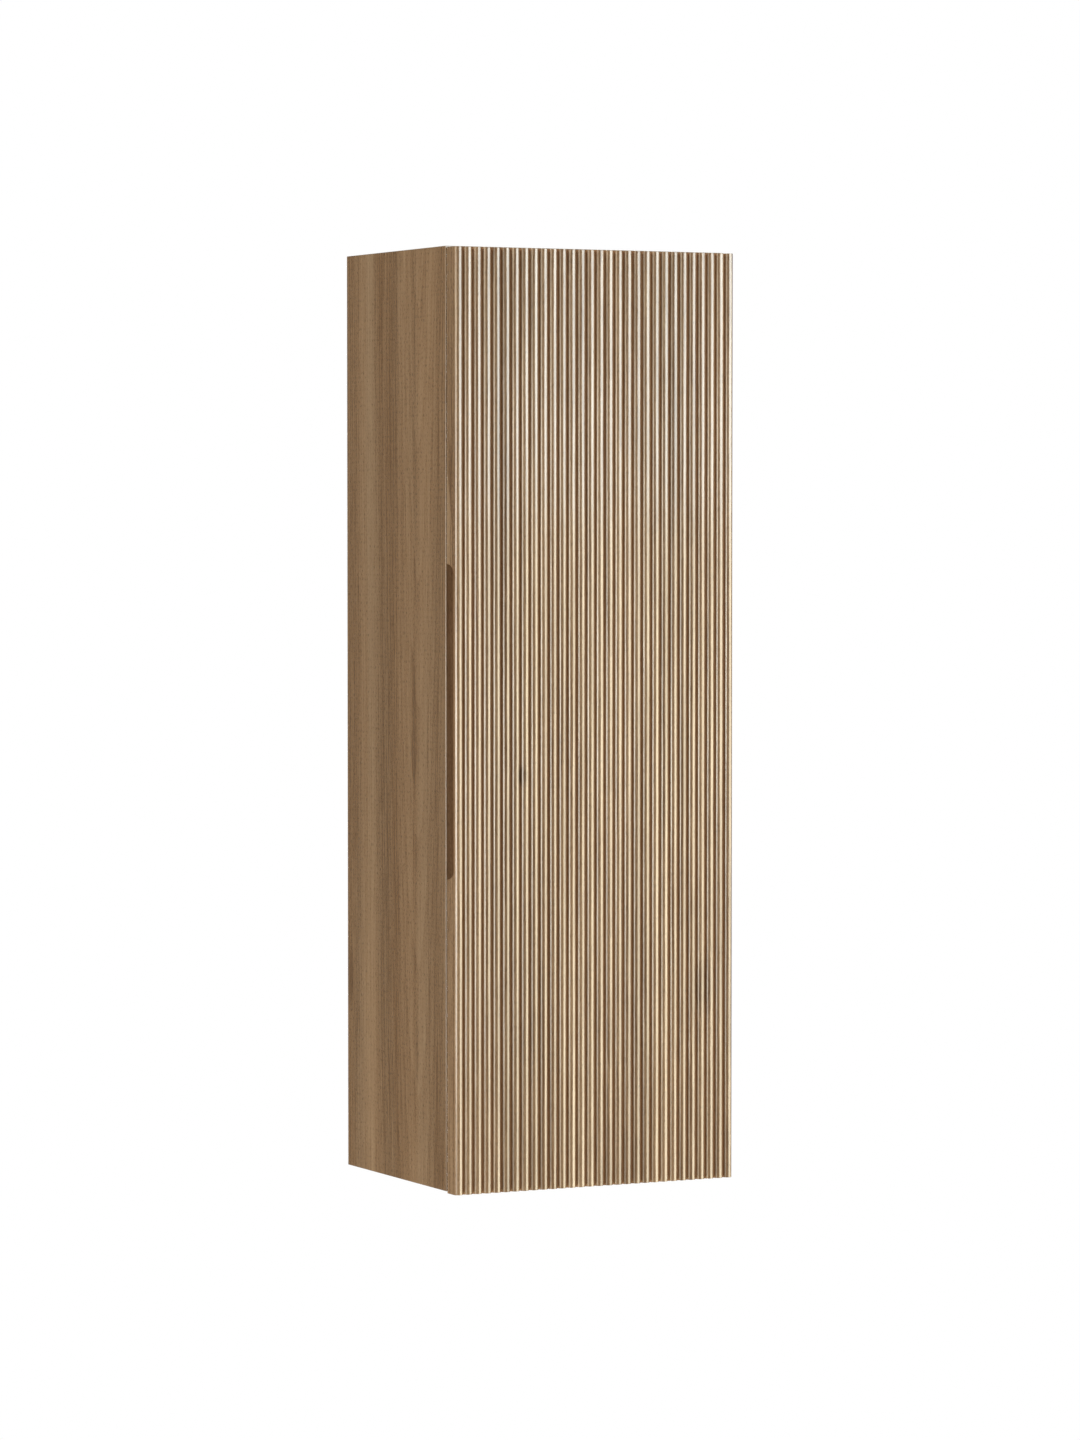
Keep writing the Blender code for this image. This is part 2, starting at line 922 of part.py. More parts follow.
def make_cup(name, middle_z, material, pivot):
    """The cup in the door, with its flange, two wings and the outer pin."""
    x, y, z = cup_place(middle_z)
    outer_radius = cup_bore_radius - seat_gap
    inner_radius = outer_radius - cup_wall
    flange_radius = cup_bore_radius + cup_flange_overlap
    depth = cup_bore_depth - seat_gap
    flange_low = seat_gap
    flange_high = seat_gap + cup_flange_thickness
    profile = [
        (0, -depth),
        (outer_radius - cup_foot_chamfer, -depth),
        (outer_radius, -depth + cup_foot_chamfer),
        (outer_radius, flange_low),
        (flange_radius, flange_low),
        (flange_radius, flange_high),
        (0, flange_high),
    ]
    cup = turned(name, profile, cup_facets, (x, y, z), (0, 1, 0))
    wing_outline = capsule(x - cup_wing_offset, z, cup_wing_spacing / 2, cup_wing_radius)
    wings = prism("wings", wing_outline, y + flange_low, y + flange_high, "Y", (x, y, z))
    combine(cup, [wings], "UNION")
    mouth_start = (x, y + flange_high + cut_overrun, z)
    mouth_end = (x, y - depth + cup_floor, z)
    mouth = rod("mouth cutter", inner_radius, mouth_start, mouth_end, cup_facets)
    cut(cup, [mouth])
    offset = cup_outer_pivot()[0] - x
    wall_middle = (outer_radius + inner_radius) / 2
    reach = math.sqrt(wall_middle**2 - offset**2)
    pin = upright_rod("pin", pivot_radius, cup_outer_pivot(), z, reach, pivot_facets)
    combine(cup, [pin], "UNION")
    return finish(cup, material, pivot)


def build_body(oak, board, rail_board):
    make_side_panel("left_side_panel", -1, oak)
    make_side_panel("right_side_panel", 1, oak)
    make_end_panel("top_panel", inner_top, body_top, False, oak)
    make_end_panel("bottom_panel", body_bottom, inner_bottom, True, oak)
    make_back_panel(board)
    half_rail = hanging_rail_height / 2
    make_rail("hanging_rail", -half_rail, half_rail, rail_board)
    rail_low = inner_bottom + seat_gap
    make_rail("lower_back_rail", rail_low, rail_low + lower_rail_height, rail_board)


def build_dowels(beech):
    for board_name, places in dowel_places().items():
        for side, side_name in sides:
            for position, place in places.items():
                make_dowel(f"dowel_{board_name}_{side_name}_{position}", side, place, beech)


def build_shelves(oak, steel):
    for name, height in zip(shelf_names, shelf_pin_heights()):
        make_shelf(f"shelf_{name}", height, oak)
        for side, side_name in sides:
            for row, row_name in ((front_row, "front"), (rear_row, "rear")):
                pin_name = f"shelf_pin_{name}_{side_name}_{row_name}"
                make_shelf_pin(pin_name, side, row, height, steel)


def build_hangers(plastic, steel):
    for side, side_name in sides:
        make_hanger_housing(f"hanger_housing_{side_name}", side, plastic)
        make_hanger_hook(f"hanger_hook_{side_name}", side, steel)


def build_door(oak, rubber, pivot):
    make_door(oak, pivot)
    high = body_top - bumper_edge_distance
    low = body_bottom + bumper_edge_distance
    make_bumper("door_bumper_upper", high, rubber, pivot)
    make_bumper("door_bumper_lower", low, rubber, pivot)


def build_hinges(steel, door_pivot, outer_pivot, inner_pivot):
    for name, height in hinge_heights.items():
        make_mounting_plate(f"hinge_{name}_mounting_plate", height, steel)
        make_arm(f"hinge_{name}_arm", height, steel)
        make_outer_link(f"hinge_{name}_outer_link", height, steel, outer_pivot)
        make_inner_link(f"hinge_{name}_inner_link", height, steel, inner_pivot)
        make_cup(f"hinge_{name}_cup", height, steel, door_pivot)


def main():
    clear_scene()
    oak = make_material("oak veneer", (0.42, 0.28, 0.15), 0.45, 0.0)
    board = make_material("back board", (0.36, 0.24, 0.13), 0.6, 0.0)
    rail_board = make_material("rail board", (0.50, 0.38, 0.24), 0.65, 0.0)
    beech = make_material("beech dowel", (0.56, 0.40, 0.25), 0.6, 0.0)
    steel = make_material("hinge steel", (0.62, 0.62, 0.61), 0.3, 1.0)
    plastic = make_material("hanger plastic", (0.80, 0.79, 0.76), 0.4, 0.0)
    rubber = make_material("clear bumper", (0.75, 0.75, 0.73), 0.35, 0.0)
    door_pivot = pivot_empty("door_axis", (*cup_outer_pivot(), door_middle))
    outer_pivot = pivot_empty("outer_link_axis", (*arm_outer_pivot(), door_middle))
    inner_pivot = pivot_empty("inner_link_axis", (*arm_inner_pivot(), door_middle))
    build_body(oak, board, rail_board)
    build_dowels(beech)
    build_shelves(oak, steel)
    build_hangers(plastic, steel)
    build_door(oak, rubber, door_pivot)
    build_hinges(steel, door_pivot, outer_pivot, inner_pivot)


main()
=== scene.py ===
"""Looks of the wall cabinet: its ribbed oak door, oak veneer, fittings and studio."""

import json
import math

import bmesh
import bpy
from mathutils import Matrix, Vector


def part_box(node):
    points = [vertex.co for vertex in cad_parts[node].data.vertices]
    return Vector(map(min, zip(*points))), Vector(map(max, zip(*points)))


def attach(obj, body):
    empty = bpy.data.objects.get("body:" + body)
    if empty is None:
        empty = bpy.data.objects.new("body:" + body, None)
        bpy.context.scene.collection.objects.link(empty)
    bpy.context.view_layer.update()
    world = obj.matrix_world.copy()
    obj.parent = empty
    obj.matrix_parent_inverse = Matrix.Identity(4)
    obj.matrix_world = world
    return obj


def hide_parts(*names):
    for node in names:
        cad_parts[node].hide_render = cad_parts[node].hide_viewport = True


bl_info = {
    "name": "Ribbed Wall Cabinet",
    "version": (1, 0, 0),
    "blender": (4, 5, 0),
    "location": "3D View > Sidebar > Cabinet",
    "description": "Dresses a wall cabinet with a ribbed oak door, veneer and fittings",
    "category": "Object",
}

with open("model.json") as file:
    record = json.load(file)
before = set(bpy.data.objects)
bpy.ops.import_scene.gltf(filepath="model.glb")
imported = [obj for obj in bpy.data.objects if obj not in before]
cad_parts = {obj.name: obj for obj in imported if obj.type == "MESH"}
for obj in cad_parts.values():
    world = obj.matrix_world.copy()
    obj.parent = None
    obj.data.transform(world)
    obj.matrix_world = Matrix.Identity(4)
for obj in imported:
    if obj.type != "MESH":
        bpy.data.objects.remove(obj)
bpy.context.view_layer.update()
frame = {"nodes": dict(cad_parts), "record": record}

touching = 0.00001
merge_distance = 0.000002
sharp_angle = math.radians(40)
flat_angle = math.radians(0.5)
edge_steps = 2

door_low, door_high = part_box("door_panel")
body_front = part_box("left_side_panel")[0].y
door_face_middle = Vector((0, door_low.y, (door_low.z + door_high.z) / 2))
levels = ("lower", "middle", "upper")
sides = ("left", "right")


# Settings


def metres(name, description, default):
    """A size that the user can change."""
    return bpy.props.FloatProperty(
        name=name,
        description=description,
        default=default,
        subtype="DISTANCE",
        unit="LENGTH",
    )


def tint(name, description, default):
    """A colour that the user can change."""
    return bpy.props.FloatVectorProperty(
        name=name,
        description=description,
        default=default,
        subtype="COLOR",
        min=0,
        max=1,
    )


def watts(name, description, default):
    """A lamp's power that the user can change."""
    return bpy.props.FloatProperty(
        name=name, description=description, default=default, unit="POWER"
    )


class CabinetDoorSizes(bpy.types.PropertyGroup):
    """Sizes of the ribbed door"""

    rib_count: bpy.props.IntProperty(
        name="Ribs", description="Upright ribs across the door", default=30, min=2
    )
    rib_facets: bpy.props.IntProperty(
        name="Rib facets", description="Facets round one rib, even", default=24, min=8
    )
    groove_width: metres("Groove width", "Flat floor between two ribs", 0.0024)
    rib_flank: metres("Rib flank", "Upright part of a rib's side below its round", 0.0008)
    rib_rise: metres("Rib rise", "How far a rib's round stands out", 0.0044)
    back_radius: metres("Back radius", "Rounding of the edges at the door's back", 0.0012)
    rib_end_softness: metres("Rib end softness", "Sanded arris at the ribs' ends", 0.0003)
    pull_length: metres("Pull length", "Length of the milled finger pull", 0.400)
    pull_reach: metres("Pull reach", "How far the finger pull reaches in behind the door", 0.013)
    pull_lip: metres("Pull lip", "Wood left in front of the finger pull", 0.0023)
    pull_end_length: metres("Pull end length", "Length of each rounded end of the pull", 0.012)
    bore_radius: metres("Cup bore radius", "Radius of the bores for the hinge cups", 0.0175)
    bore_depth: metres("Cup bore depth", "Depth of the bores for the hinge cups", 0.0125)
    bore_inward: metres("Cup bore inward", "From the hinged edge to the bores' middle", 0.0215)


class CabinetFittingSizes(bpy.types.PropertyGroup):
    """Sizes of the screws and of the softened edges on the fittings"""

    edge_softness: metres("Edge softness", "Rounding of the fittings' edges", 0.00018)
    board_softness: metres("Board softness", "Rounding of the veneered boards' edges", 0.0006)
    screw_radius: metres("Screw head radius", "Radius of a screw's head", 0.0033)
    screw_height: metres("Screw head height", "Height of a screw's domed head", 0.0011)
    recess_length: metres("Recess length", "Across the cross recess in a screw's head", 0.0034)
    recess_width: metres("Recess width", "Width of one arm of the cross recess", 0.0007)
    plate_thickness: metres("Plate thickness", "From the side panel to a plate's wings", 0.0033)
    plate_screw_setback: metres("Plate screw setback", "From the body's front to the screws", 0.037)
    plate_screw_spacing: metres("Plate screw spacing", "Between the two screws of a plate", 0.032)
    arm_screw_setbacks: bpy.props.FloatVectorProperty(
        name="Arm screw setbacks",
        description="From the body's front to the two adjusting screws of an arm",
        default=(0.040, 0.062),
        size=2,
        subtype="XYZ_LENGTH",
        unit="LENGTH",
    )
    arm_web_thickness: metres("Arm web thickness", "Steel at the bottom of an arm's channel", 0.0015)
    cup_screw_inward: metres("Cup screw inward", "From the hinged edge to a cup's screws", 0.027)
    cup_screw_spacing: metres("Cup screw spacing", "Between the two screws of a cup", 0.045)
    hanger_screw_depth: metres("Hanger screw depth", "From a hanger's front to its screws", 0.006)
    hanger_screw_rise: metres("Hanger screw rise", "From a hanger's middle screw to its upper", 0.011)


class CabinetColours(bpy.types.PropertyGroup):
    """Colours of the finishes"""

    oak_dark: tint("Oak, dark grain", "Darkest streaks of the veneer", (0.118, 0.064, 0.029))
    oak_middle: tint("Oak, body colour", "Usual colour of the veneer", (0.212, 0.129, 0.066))
    oak_light: tint("Oak, pale grain", "Palest streaks of the veneer", (0.292, 0.191, 0.104))
    oak_grey: tint("Oak, grey cast", "Cooler cast that drifts over the veneer", (0.47, 0.50, 0.53))
    # Painted light: a paler, warmer colour in the door's grooves that lifts their shade.
    groove_painted_light: tint("Oak, grooves", "Raw wood in the door's grooves", (0.415, 0.231, 0.116))
    # Painted shade: a dark colour on the finger pull's wall, for the shade in the hollow.
    pull_painted_shade: tint("Milled oak", "Stained wood of the finger pull", (0.115, 0.048, 0.016))
    oak_knot: tint("Oak, knots", "Heart of the knots", (0.070, 0.036, 0.016))
    oak_pore: tint("Oak, pores", "Darkening of the short open pores", (0.16, 0.13, 0.11))
    board_raw: tint("Raw board", "Unveneered board at the cabinet's rear", (0.30, 0.205, 0.115))
    steel: tint("Plated steel", "Nickel plating of hinges, hooks and pins", (0.62, 0.61, 0.59))
    beech: tint("Beech", "Bare wood of the dowels", (0.56, 0.40, 0.25))
    plastic: tint("Hanger plastic", "Moulded housing of the hangers", (0.71, 0.69, 0.64))
    rubber: tint("Bumper", "Clear soft pads on the door", (0.70, 0.70, 0.67))


class CabinetStudio(bpy.types.PropertyGroup):
    """Lamps, fill light and camera"""

    right_lamp: watts("Right lamp", "Power of the tall right softbox", 31.9)
    left_lamp: watts("Left lamp", "Power of the middle left softbox", 16.6)
    side_lamps: watts("Side lamps", "Power of the lamps above and below the left side", 62.5)
    front_lamps: watts(
        "Front lamps",
        "Power of the lamp below the door's front, and twice that of the one above",
        6.0,
    )
    upper_lamp: watts("Upper lamp", "Power of the high right softbox", 21.0)
    rear_lamp: watts("Rear lamp", "Power of the lamp behind the cabinet", 40.0)
    fill: bpy.props.FloatProperty(
        name="Fill", description="Even light from all round", default=0.20
    )
    focal_length: bpy.props.FloatProperty(
        name="Focal length",
        description="Lens, on a film 36 mm high",
        default=126.87,
        subtype="DISTANCE_CAMERA",
    )


# Modelling helpers


def deselect_all():
    if bpy.context.mode != "OBJECT":
        bpy.ops.object.mode_set(mode="OBJECT")
    bpy.ops.object.select_all(action="DESELECT")


def choose(*items):
    """Select only these objects. The last one is active."""
    deselect_all()
    for item in items:
        item.select_set(True)
        bpy.context.view_layer.objects.active = item


def start_editing(item):
    choose(item)
    bpy.ops.object.mode_set(mode="EDIT")
    bpy.ops.mesh.select_mode(type="VERT")
    bpy.ops.mesh.select_all(action="DESELECT")


def stop_editing():
    bpy.ops.object.mode_set(mode="OBJECT")


def pick_all():
    bpy.ops.mesh.select_all(action="SELECT")


def pick(item, kind, fits):
    """Select the points, edges or faces of the edited object that fit."""
    bpy.ops.mesh.select_mode(type=kind)
    bpy.ops.mesh.select_all(action="DESELECT")
    shape = bmesh.from_edit_mesh(item.data)
    parts = {"VERT": shape.verts, "EDGE": shape.edges, "FACE": shape.faces}[kind]
    found = [part for part in parts if fits(part)]
    if not found:
        raise RuntimeError(f"{item.name}: nothing to pick")
    for part in found:
        part.select_set(True)
    shape.select_flush_mode()
    bmesh.update_edit_mesh(item.data)


def fix_place(item):
    """Put the object's place, turn and size into its mesh."""
    choose(item)
    bpy.ops.object.transform_apply(location=True, rotation=True, scale=True)


def named(item, name):
    item.name = name
    item.data.name = name
    return item


def new_object(name, data):
    item = bpy.data.objects.new(name, data)
    bpy.context.scene.collection.objects.link(item)
    return item


def take_primitive(name, scale=(1, 1, 1)):
    """Name the primitive that was just added, and put its place and size into its mesh."""
    item = named(bpy.context.object, name)
    item.scale = scale
    fix_place(item)
    return item


def bevel_picked(width, steps):
    bpy.ops.mesh.bevel(offset=width, segments=steps, profile=0.5, affect="EDGES")


def extrude_picked(step):
    bpy.ops.mesh.extrude_region_move(TRANSFORM_OT_translate={"value": step})


def modify(item, kind, **settings):
    """Give the item a modifier with these settings and apply it."""
    choose(item)
    modifier = item.modifiers.new(kind.lower(), kind)
    for name, value in settings.items():
        setattr(modifier, name, value)
    bpy.ops.object.modifier_apply(modifier=modifier.name)


def cut_out(item, cutter):
    """Take the cutter's shape out of the item and delete the cutter."""
    modify(item, "BOOLEAN", operation="DIFFERENCE", solver="EXACT", object=cutter)
    bpy.data.objects.remove(cutter)


def shade(item, angle):
    """Smooth shading below the angle. Large faces keep their own direction."""
    choose(item)
    bpy.ops.object.shade_smooth_by_angle(angle=angle)
    modify(item, "WEIGHTED_NORMAL", keep_sharp=True)


def give_finish(item, material):
    item.data.materials.clear()
    item.data.materials.append(material)


# Door


back_steps, rib_end_steps = 6, 2
pull_facets, bore_facets = 96, 64
cutter_spare = 0.002
door_smooth_angle = math.radians(32)


def rib_profile(sizes):
    """The ribbed front of the door as one line of edges along its lower end."""
    span = door_high.x - door_low.x
    rib_width = (span - (sizes.rib_count - 1) * sizes.groove_width) / sizes.rib_count
    arris = door_low.y + sizes.rib_rise
    middle = (door_low.x + rib_width / 2, arris, door_low.z)
    deselect_all()
    bpy.ops.mesh.primitive_circle_add(
        vertices=2 * sizes.rib_facets,
        radius=rib_width / 2,
        fill_type="NOTHING",
        location=middle,
    )
    line = take_primitive("ribbed_door")
    start_editing(line)
    pick(line, "VERT", lambda point: point.co.y > arris + touching)
    bpy.ops.mesh.delete(type="VERT")
    pick_all()
    bpy.ops.transform.resize(
        value=(1, sizes.rib_rise / (rib_width / 2), 1), center_override=middle
    )
    foot = door_low.x + rib_width
    pick(line, "VERT", lambda point: point.co.x > foot - touching)
    groove = ((0, sizes.rib_flank, 0), (sizes.groove_width, 0, 0), (0, -sizes.rib_flank, 0))
    for step in groove:
        extrude_picked(step)
    stop_editing()
    modify(
        line,
        "ARRAY",
        count=sizes.rib_count,
        use_relative_offset=False,
        use_constant_offset=True,
        constant_offset_displace=(rib_width + sizes.groove_width, 0, 0),
        use_merge_vertices=True,
        merge_threshold=touching,
    )
    start_editing(line)
    pick_all()
    bpy.ops.mesh.remove_doubles(threshold=touching)
    pick(line, "VERT", lambda point: is_past_last_rib(point.co, arris))
    bpy.ops.mesh.delete(type="VERT")
    stop_editing()
    return line, arris


def is_past_last_rib(place, arris):
    """True for the spare groove that the repeat leaves beyond the last rib."""
    past = place.x > door_high.x + touching
    spare_floor = place.x > door_high.x - touching and place.y > arris + touching
    return past or spare_floor


def close_door_outline(door, arris):
    """Add the door's plain edges and back to the ribbed line, and fill it."""
    start_editing(door)
    for corner_x in (door_low.x, door_high.x):
        pick(
            door,
            "VERT",
            lambda point, x=corner_x: abs(point.co.x - x) < touching
            and point.co.y < arris + touching,
        )
        extrude_picked((0, door_high.y - arris, 0))
    pick(door, "VERT", lambda point: point.co.y > door_high.y - touching)
    bpy.ops.mesh.edge_face_add()
    pick_all()
    bpy.ops.mesh.edge_face_add()
    pick_all()
    extrude_picked((0, 0, door_high.z - door_low.z))
    pick_all()
    bpy.ops.mesh.normals_make_consistent(inside=False)
    stop_editing()


def on_level(edge, axis, level):
    return all(abs(point.co[axis] - level) < touching for point in edge.verts)


def soften_door(door, sizes, arris):
    """Round the edges of the door's back and take the arris off the ribs' ends."""
    start_editing(door)
    pick(door, "EDGE", lambda edge: on_level(edge, 1, door_high.y))
    bevel_picked(sizes.back_radius, back_steps)
    front = arris + sizes.rib_flank + touching
    for level in (door_low.z, door_high.z):
        pick(
            door,
            "EDGE",
            lambda edge, z=level: on_level(edge, 2, z)
            and all(point.co.y < front for point in edge.verts),
        )
        bevel_picked(sizes.rib_end_softness, rib_end_steps)
    stop_editing()


def pull_form(sizes, arris):
    """The finger pull's middle, the radii of its ends and half of its straight part."""
    middle = Vector((door_low.x, door_high.y, door_face_middle.z))
    depth = door_high.y - arris - sizes.pull_lip
    radii = (sizes.pull_reach, depth, sizes.pull_end_length)
    return middle, radii, sizes.pull_length / 2 - sizes.pull_end_length


def finger_pull_cutter(sizes, arris):
    """A long hollow with rounded ends, along the free edge and open to the back."""
    deselect_all()
    middle, radii, stretch = pull_form(sizes, arris)
    bpy.ops.mesh.primitive_uv_sphere_add(
        segments=pull_facets, ring_count=pull_facets // 2 - 1, radius=1, location=middle
    )
    cutter = take_primitive("finger_pull_cutter", radii)
    start_editing(cutter)
    for way in (1, -1):
        pick(cutter, "VERT", lambda point, w=way: (point.co.z - middle.z) * w > touching)
        bpy.ops.transform.translate(value=(0, 0, way * stretch))
    stop_editing()
    return cutter


def cup_bore_cutter(sizes, height):
    """A round cutter for one hinge cup, which stands a little out of the door's back."""
    deselect_all()
    depth = sizes.bore_depth + cutter_spare
    middle = (
        door_high.x - sizes.bore_inward,
        door_high.y - sizes.bore_depth + depth / 2,
        height,
    )
    bpy.ops.mesh.primitive_cylinder_add(
        vertices=bore_facets,
        radius=sizes.bore_radius,
        depth=depth,
        location=middle,
        rotation=(math.pi / 2, 0, 0),
    )
    return take_primitive("cup_bore_cutter")


def node_middle(node):
    low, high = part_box(node)
    return (low + high) / 2


# Each knot's middle, radii and darkness.
door_knots = (
    ((-0.1058, door_low.y, -0.5456), (0.009, 0.040, 0.014), 0.64),
    ((0.1564, door_low.y, -0.8241), (0.018, 0.040, 0.040), 0.46),
)
door_pith = (0.03, door_low.y + 0.05, 0.0)
# Share of a rib's rise, up from its foot, that the grooves' painted light and dull finish cover.
groove_mask_rib_share = 0.4


def door_oak(context):
    """Upright oak with two knots, dull in the grooves and in the finger pull, with painted light in
    the grooves and painted shade in the pull.
    """
    sizes = context.scene.cabinet_door
    arris = door_low.y + sizes.rib_rise
    groove_start = arris - groove_mask_rib_share * sizes.rib_rise
    groove = (door_high.x, groove_start, arris + sizes.rib_flank)
    pull = pull_form(sizes, arris)
    return oak(context, "door oak", 1.0, door_pith, "front", door_knots, (), groove, pull)


class CABINET_OT_door(bpy.types.Operator):
    """Model the ribbed door with its finger pull and hinge bores"""

    bl_idname = "cabinet.door"
    bl_label = "Ribbed door"

    def execute(self, context):
        sizes = context.scene.cabinet_door
        door, arris = rib_profile(sizes)
        close_door_outline(door, arris)
        soften_door(door, sizes, arris)
        cut_out(door, finger_pull_cutter(sizes, arris))
        for name in levels:
            height = node_middle(f"hinge_{name}_cup").z
            cut_out(door, cup_bore_cutter(sizes, height))
        shade(door, door_smooth_angle)
        give_finish(door, door_oak(context))
        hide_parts("door_panel")
        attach(door, "door")
        return {"FINISHED"}


# Fittings


def softened_copy(node, name, width):
    """A merged copy of a fitting with rounded edges and smooth round faces."""
    item = named(new_object(name, frame["nodes"][node].data.copy()), name)
    start_editing(item)
    pick_all()
    bpy.ops.mesh.remove_doubles(threshold=merge_distance)
    bpy.ops.mesh.dissolve_limited(angle_limit=flat_angle)
    stop_editing()
    if width > 0:
        sharp_ones = {"limit_method": "ANGLE", "angle_limit": sharp_angle}
        modify(item, "BEVEL", width=width, segments=edge_steps, **sharp_ones)
    shade(item, sharp_angle)
    return item


def node_body(node):
    for body, members in frame["record"]["behaviour"]["bodies"].items():
        if node in members:
            return body
    raise RuntimeError(f"{node} is on no body")


def dress_fitting(node, name, width, material):
    item = softened_copy(node, name, width)
    give_finish(item, material)
    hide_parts(node)
    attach(item, node_body(node))


def plate_all(context, nodes, width):
    material = plated_steel(context)
    for node in nodes:
        dress_fitting(node, f"{node}_plated", width, material)


class CABINET_OT_hinges(bpy.types.Operator):
    """Give the concealed hinges rounded pressings and a plated finish"""

    bl_idname = "cabinet.hinges"
    bl_label = "Hinges"

    def execute(self, context):
        width = context.scene.cabinet_fittings.edge_softness
        parts = ("mounting_plate", "arm", "outer_link", "inner_link", "cup")
        plate_all(context, [f"hinge_{name}_{part}" for name in levels for part in parts], width)
        return {"FINISHED"}


class CABINET_OT_shelf_pins(bpy.types.Operator):
    """Give the shelf pins smooth turned faces and a plated finish"""

    bl_idname = "cabinet.shelf_pins"
    bl_label = "Shelf pins"

    def execute(self, context):
        corners = [f"{side}_{row}" for side in sides for row in ("front", "rear")]
        pins = [f"shelf_pin_{level}_{corner}" for level in levels for corner in corners]
        plate_all(context, pins, 0)
        return {"FINISHED"}


class CABINET_OT_hangers(bpy.types.Operator):
    """Finish the moulded hanger housings and their steel hooks"""

    bl_idname = "cabinet.hangers"
    bl_label = "Hangers"

    def execute(self, context):
        width = context.scene.cabinet_fittings.edge_softness
        plastic = hanger_plastic(context)
        steel = plated_steel(context)
        for side in sides:
            housing = f"hanger_housing_{side}"
            hook = f"hanger_hook_{side}"
            dress_fitting(housing, f"{housing}_moulded", 0, plastic)
            dress_fitting(hook, f"{hook}_plated", width, steel)
        return {"FINISHED"}


bumper_softness = 3


class CABINET_OT_bumpers(bpy.types.Operator):
    """Finish the two soft pads on the back of the door"""

    bl_idname = "cabinet.bumpers"
    bl_label = "Door bumpers"

    def execute(self, context):
        width = bumper_softness * context.scene.cabinet_fittings.edge_softness
        material = bumper_rubber(context)
        for place in ("upper", "lower"):
            node = f"door_bumper_{place}"
            dress_fitting(node, f"{node}_pad", width, material)
        return {"FINISHED"}


screw_facets, dome_steps = 32, 4
screw_dome_share = 0.8
recess_reach = 1.4
recess_foot_share = 0.55
screw_smooth_angle = math.radians(35)
first_turn, next_turn = math.radians(17), math.radians(41)


def screw_head(sizes):
    """A domed screw head with a cross recess, standing on the origin along +Z."""
    deselect_all()
    bpy.ops.mesh.primitive_cylinder_add(
        vertices=screw_facets,
        radius=sizes.screw_radius,
        depth=sizes.screw_height,
        location=(0, 0, sizes.screw_height / 2),
    )
    head = take_primitive("screw_head")
    start_editing(head)
    pick(head, "EDGE", lambda edge: on_level(edge, 2, sizes.screw_height))
    bevel_picked(screw_dome_share * sizes.screw_height, dome_steps)
    stop_editing()
    for turn in (0, math.pi / 2):
        cut_out(head, recess_cutter(sizes, turn))
    shade(head, screw_smooth_angle)
    return head


def recess_cutter(sizes, turn):
    """One arm of the cross recess, narrower at its foot."""
    deselect_all()
    bpy.ops.mesh.primitive_cube_add(
        size=1, location=(0, 0, sizes.screw_height), rotation=(0, 0, turn)
    )
    reach = recess_reach * sizes.screw_height
    size = (sizes.recess_length, sizes.recess_width, reach)
    cutter = take_primitive("recess_cutter", size)
    start_editing(cutter)
    pick(cutter, "FACE", lambda face: face.normal.z < -0.9)
    foot = (recess_foot_share, recess_foot_share, 1)
    bpy.ops.transform.resize(value=foot, center_override=(0, 0, 0))
    stop_editing()
    return cutter


def set_screws(name, places, facing, sizes):
    """Copies of the screw head at the places, each turned its own way, as one group."""
    model = screw_head(sizes)
    turn = Vector((0, 0, 1)).rotation_difference(Vector(facing)).to_matrix().to_4x4()
    copies = []
    for number, place in enumerate(places):
        mesh = model.data.copy()
        spin = Matrix.Rotation(first_turn + next_turn * number, 4, "Z")
        mesh.transform(Matrix.Translation(place) @ turn @ spin)
        copies.append(new_object(name, mesh))
    bpy.data.objects.remove(model)
    choose(*copies)
    if len(copies) > 1:
        bpy.ops.object.join()
    return named(bpy.context.view_layer.objects.active, name)


class CABINET_OT_screws(bpy.types.Operator):
    """Set the screws of the hinge plates, arms and cups and of the hangers"""

    bl_idname = "cabinet.screws"
    bl_label = "Screws"

    def execute(self, context):
        sizes = context.scene.cabinet_fittings
        material = plated_steel(context)
        groups = (
            ("hinge_plate_screws", plate_screw_places(sizes), (-1, 0, 0), "cabinet_body"),
            ("hinge_arm_screws", arm_screw_places(sizes), (-1, 0, 0), "cabinet_body"),
            ("hinge_cup_screws", cup_screw_places(sizes), (0, 1, 0), "door"),
            ("hanger_screws", hanger_screw_places(sizes), (0, -1, 0), "cabinet_body"),
        )
        for name, places, facing, body in groups:
            group = set_screws(name, places, facing, sizes)
            give_finish(group, material)
            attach(group, body)
        return {"FINISHED"}


def plate_screw_places(sizes):
    """On each mounting plate's wings."""
    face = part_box("right_side_panel")[0].x - sizes.plate_thickness
    row = body_front + sizes.plate_screw_setback
    half = sizes.plate_screw_spacing / 2
    middles = [node_middle(f"hinge_{name}_mounting_plate").z for name in levels]
    return [(face, row, middle + way) for middle in middles for way in (-half, half)]


def arm_screw_places(sizes):
    """On the bottom of each arm's channel, one behind the other."""
    places = []
    for name in levels:
        low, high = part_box(f"hinge_{name}_mounting_plate")
        face = low.x - sizes.arm_web_thickness
        for setback in sizes.arm_screw_setbacks:
            places.append((face, body_front + setback, (low.z + high.z) / 2))
    return places


def cup_screw_places(sizes):
    """On the wings of each cup, above and below it."""
    row = door_high.x - sizes.cup_screw_inward
    half = sizes.cup_screw_spacing / 2
    boxes = [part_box(f"hinge_{name}_cup") for name in levels]
    return [
        (row, high.y, (low.z + high.z) / 2 + way)
        for low, high in boxes
        for way in (-half, half)
    ]


def hanger_screw_places(sizes):
    """At the foot of the two wells in each hanger's front."""
    places = []
    for side in sides:
        housing = f"hanger_housing_{side}"
        middle = node_middle(housing)
        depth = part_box(housing)[0].y + sizes.hanger_screw_depth
        for rise in (0, sizes.hanger_screw_rise):
            places.append((middle.x, depth, middle.z + rise))
    return places


# Finishes


finishes = {}


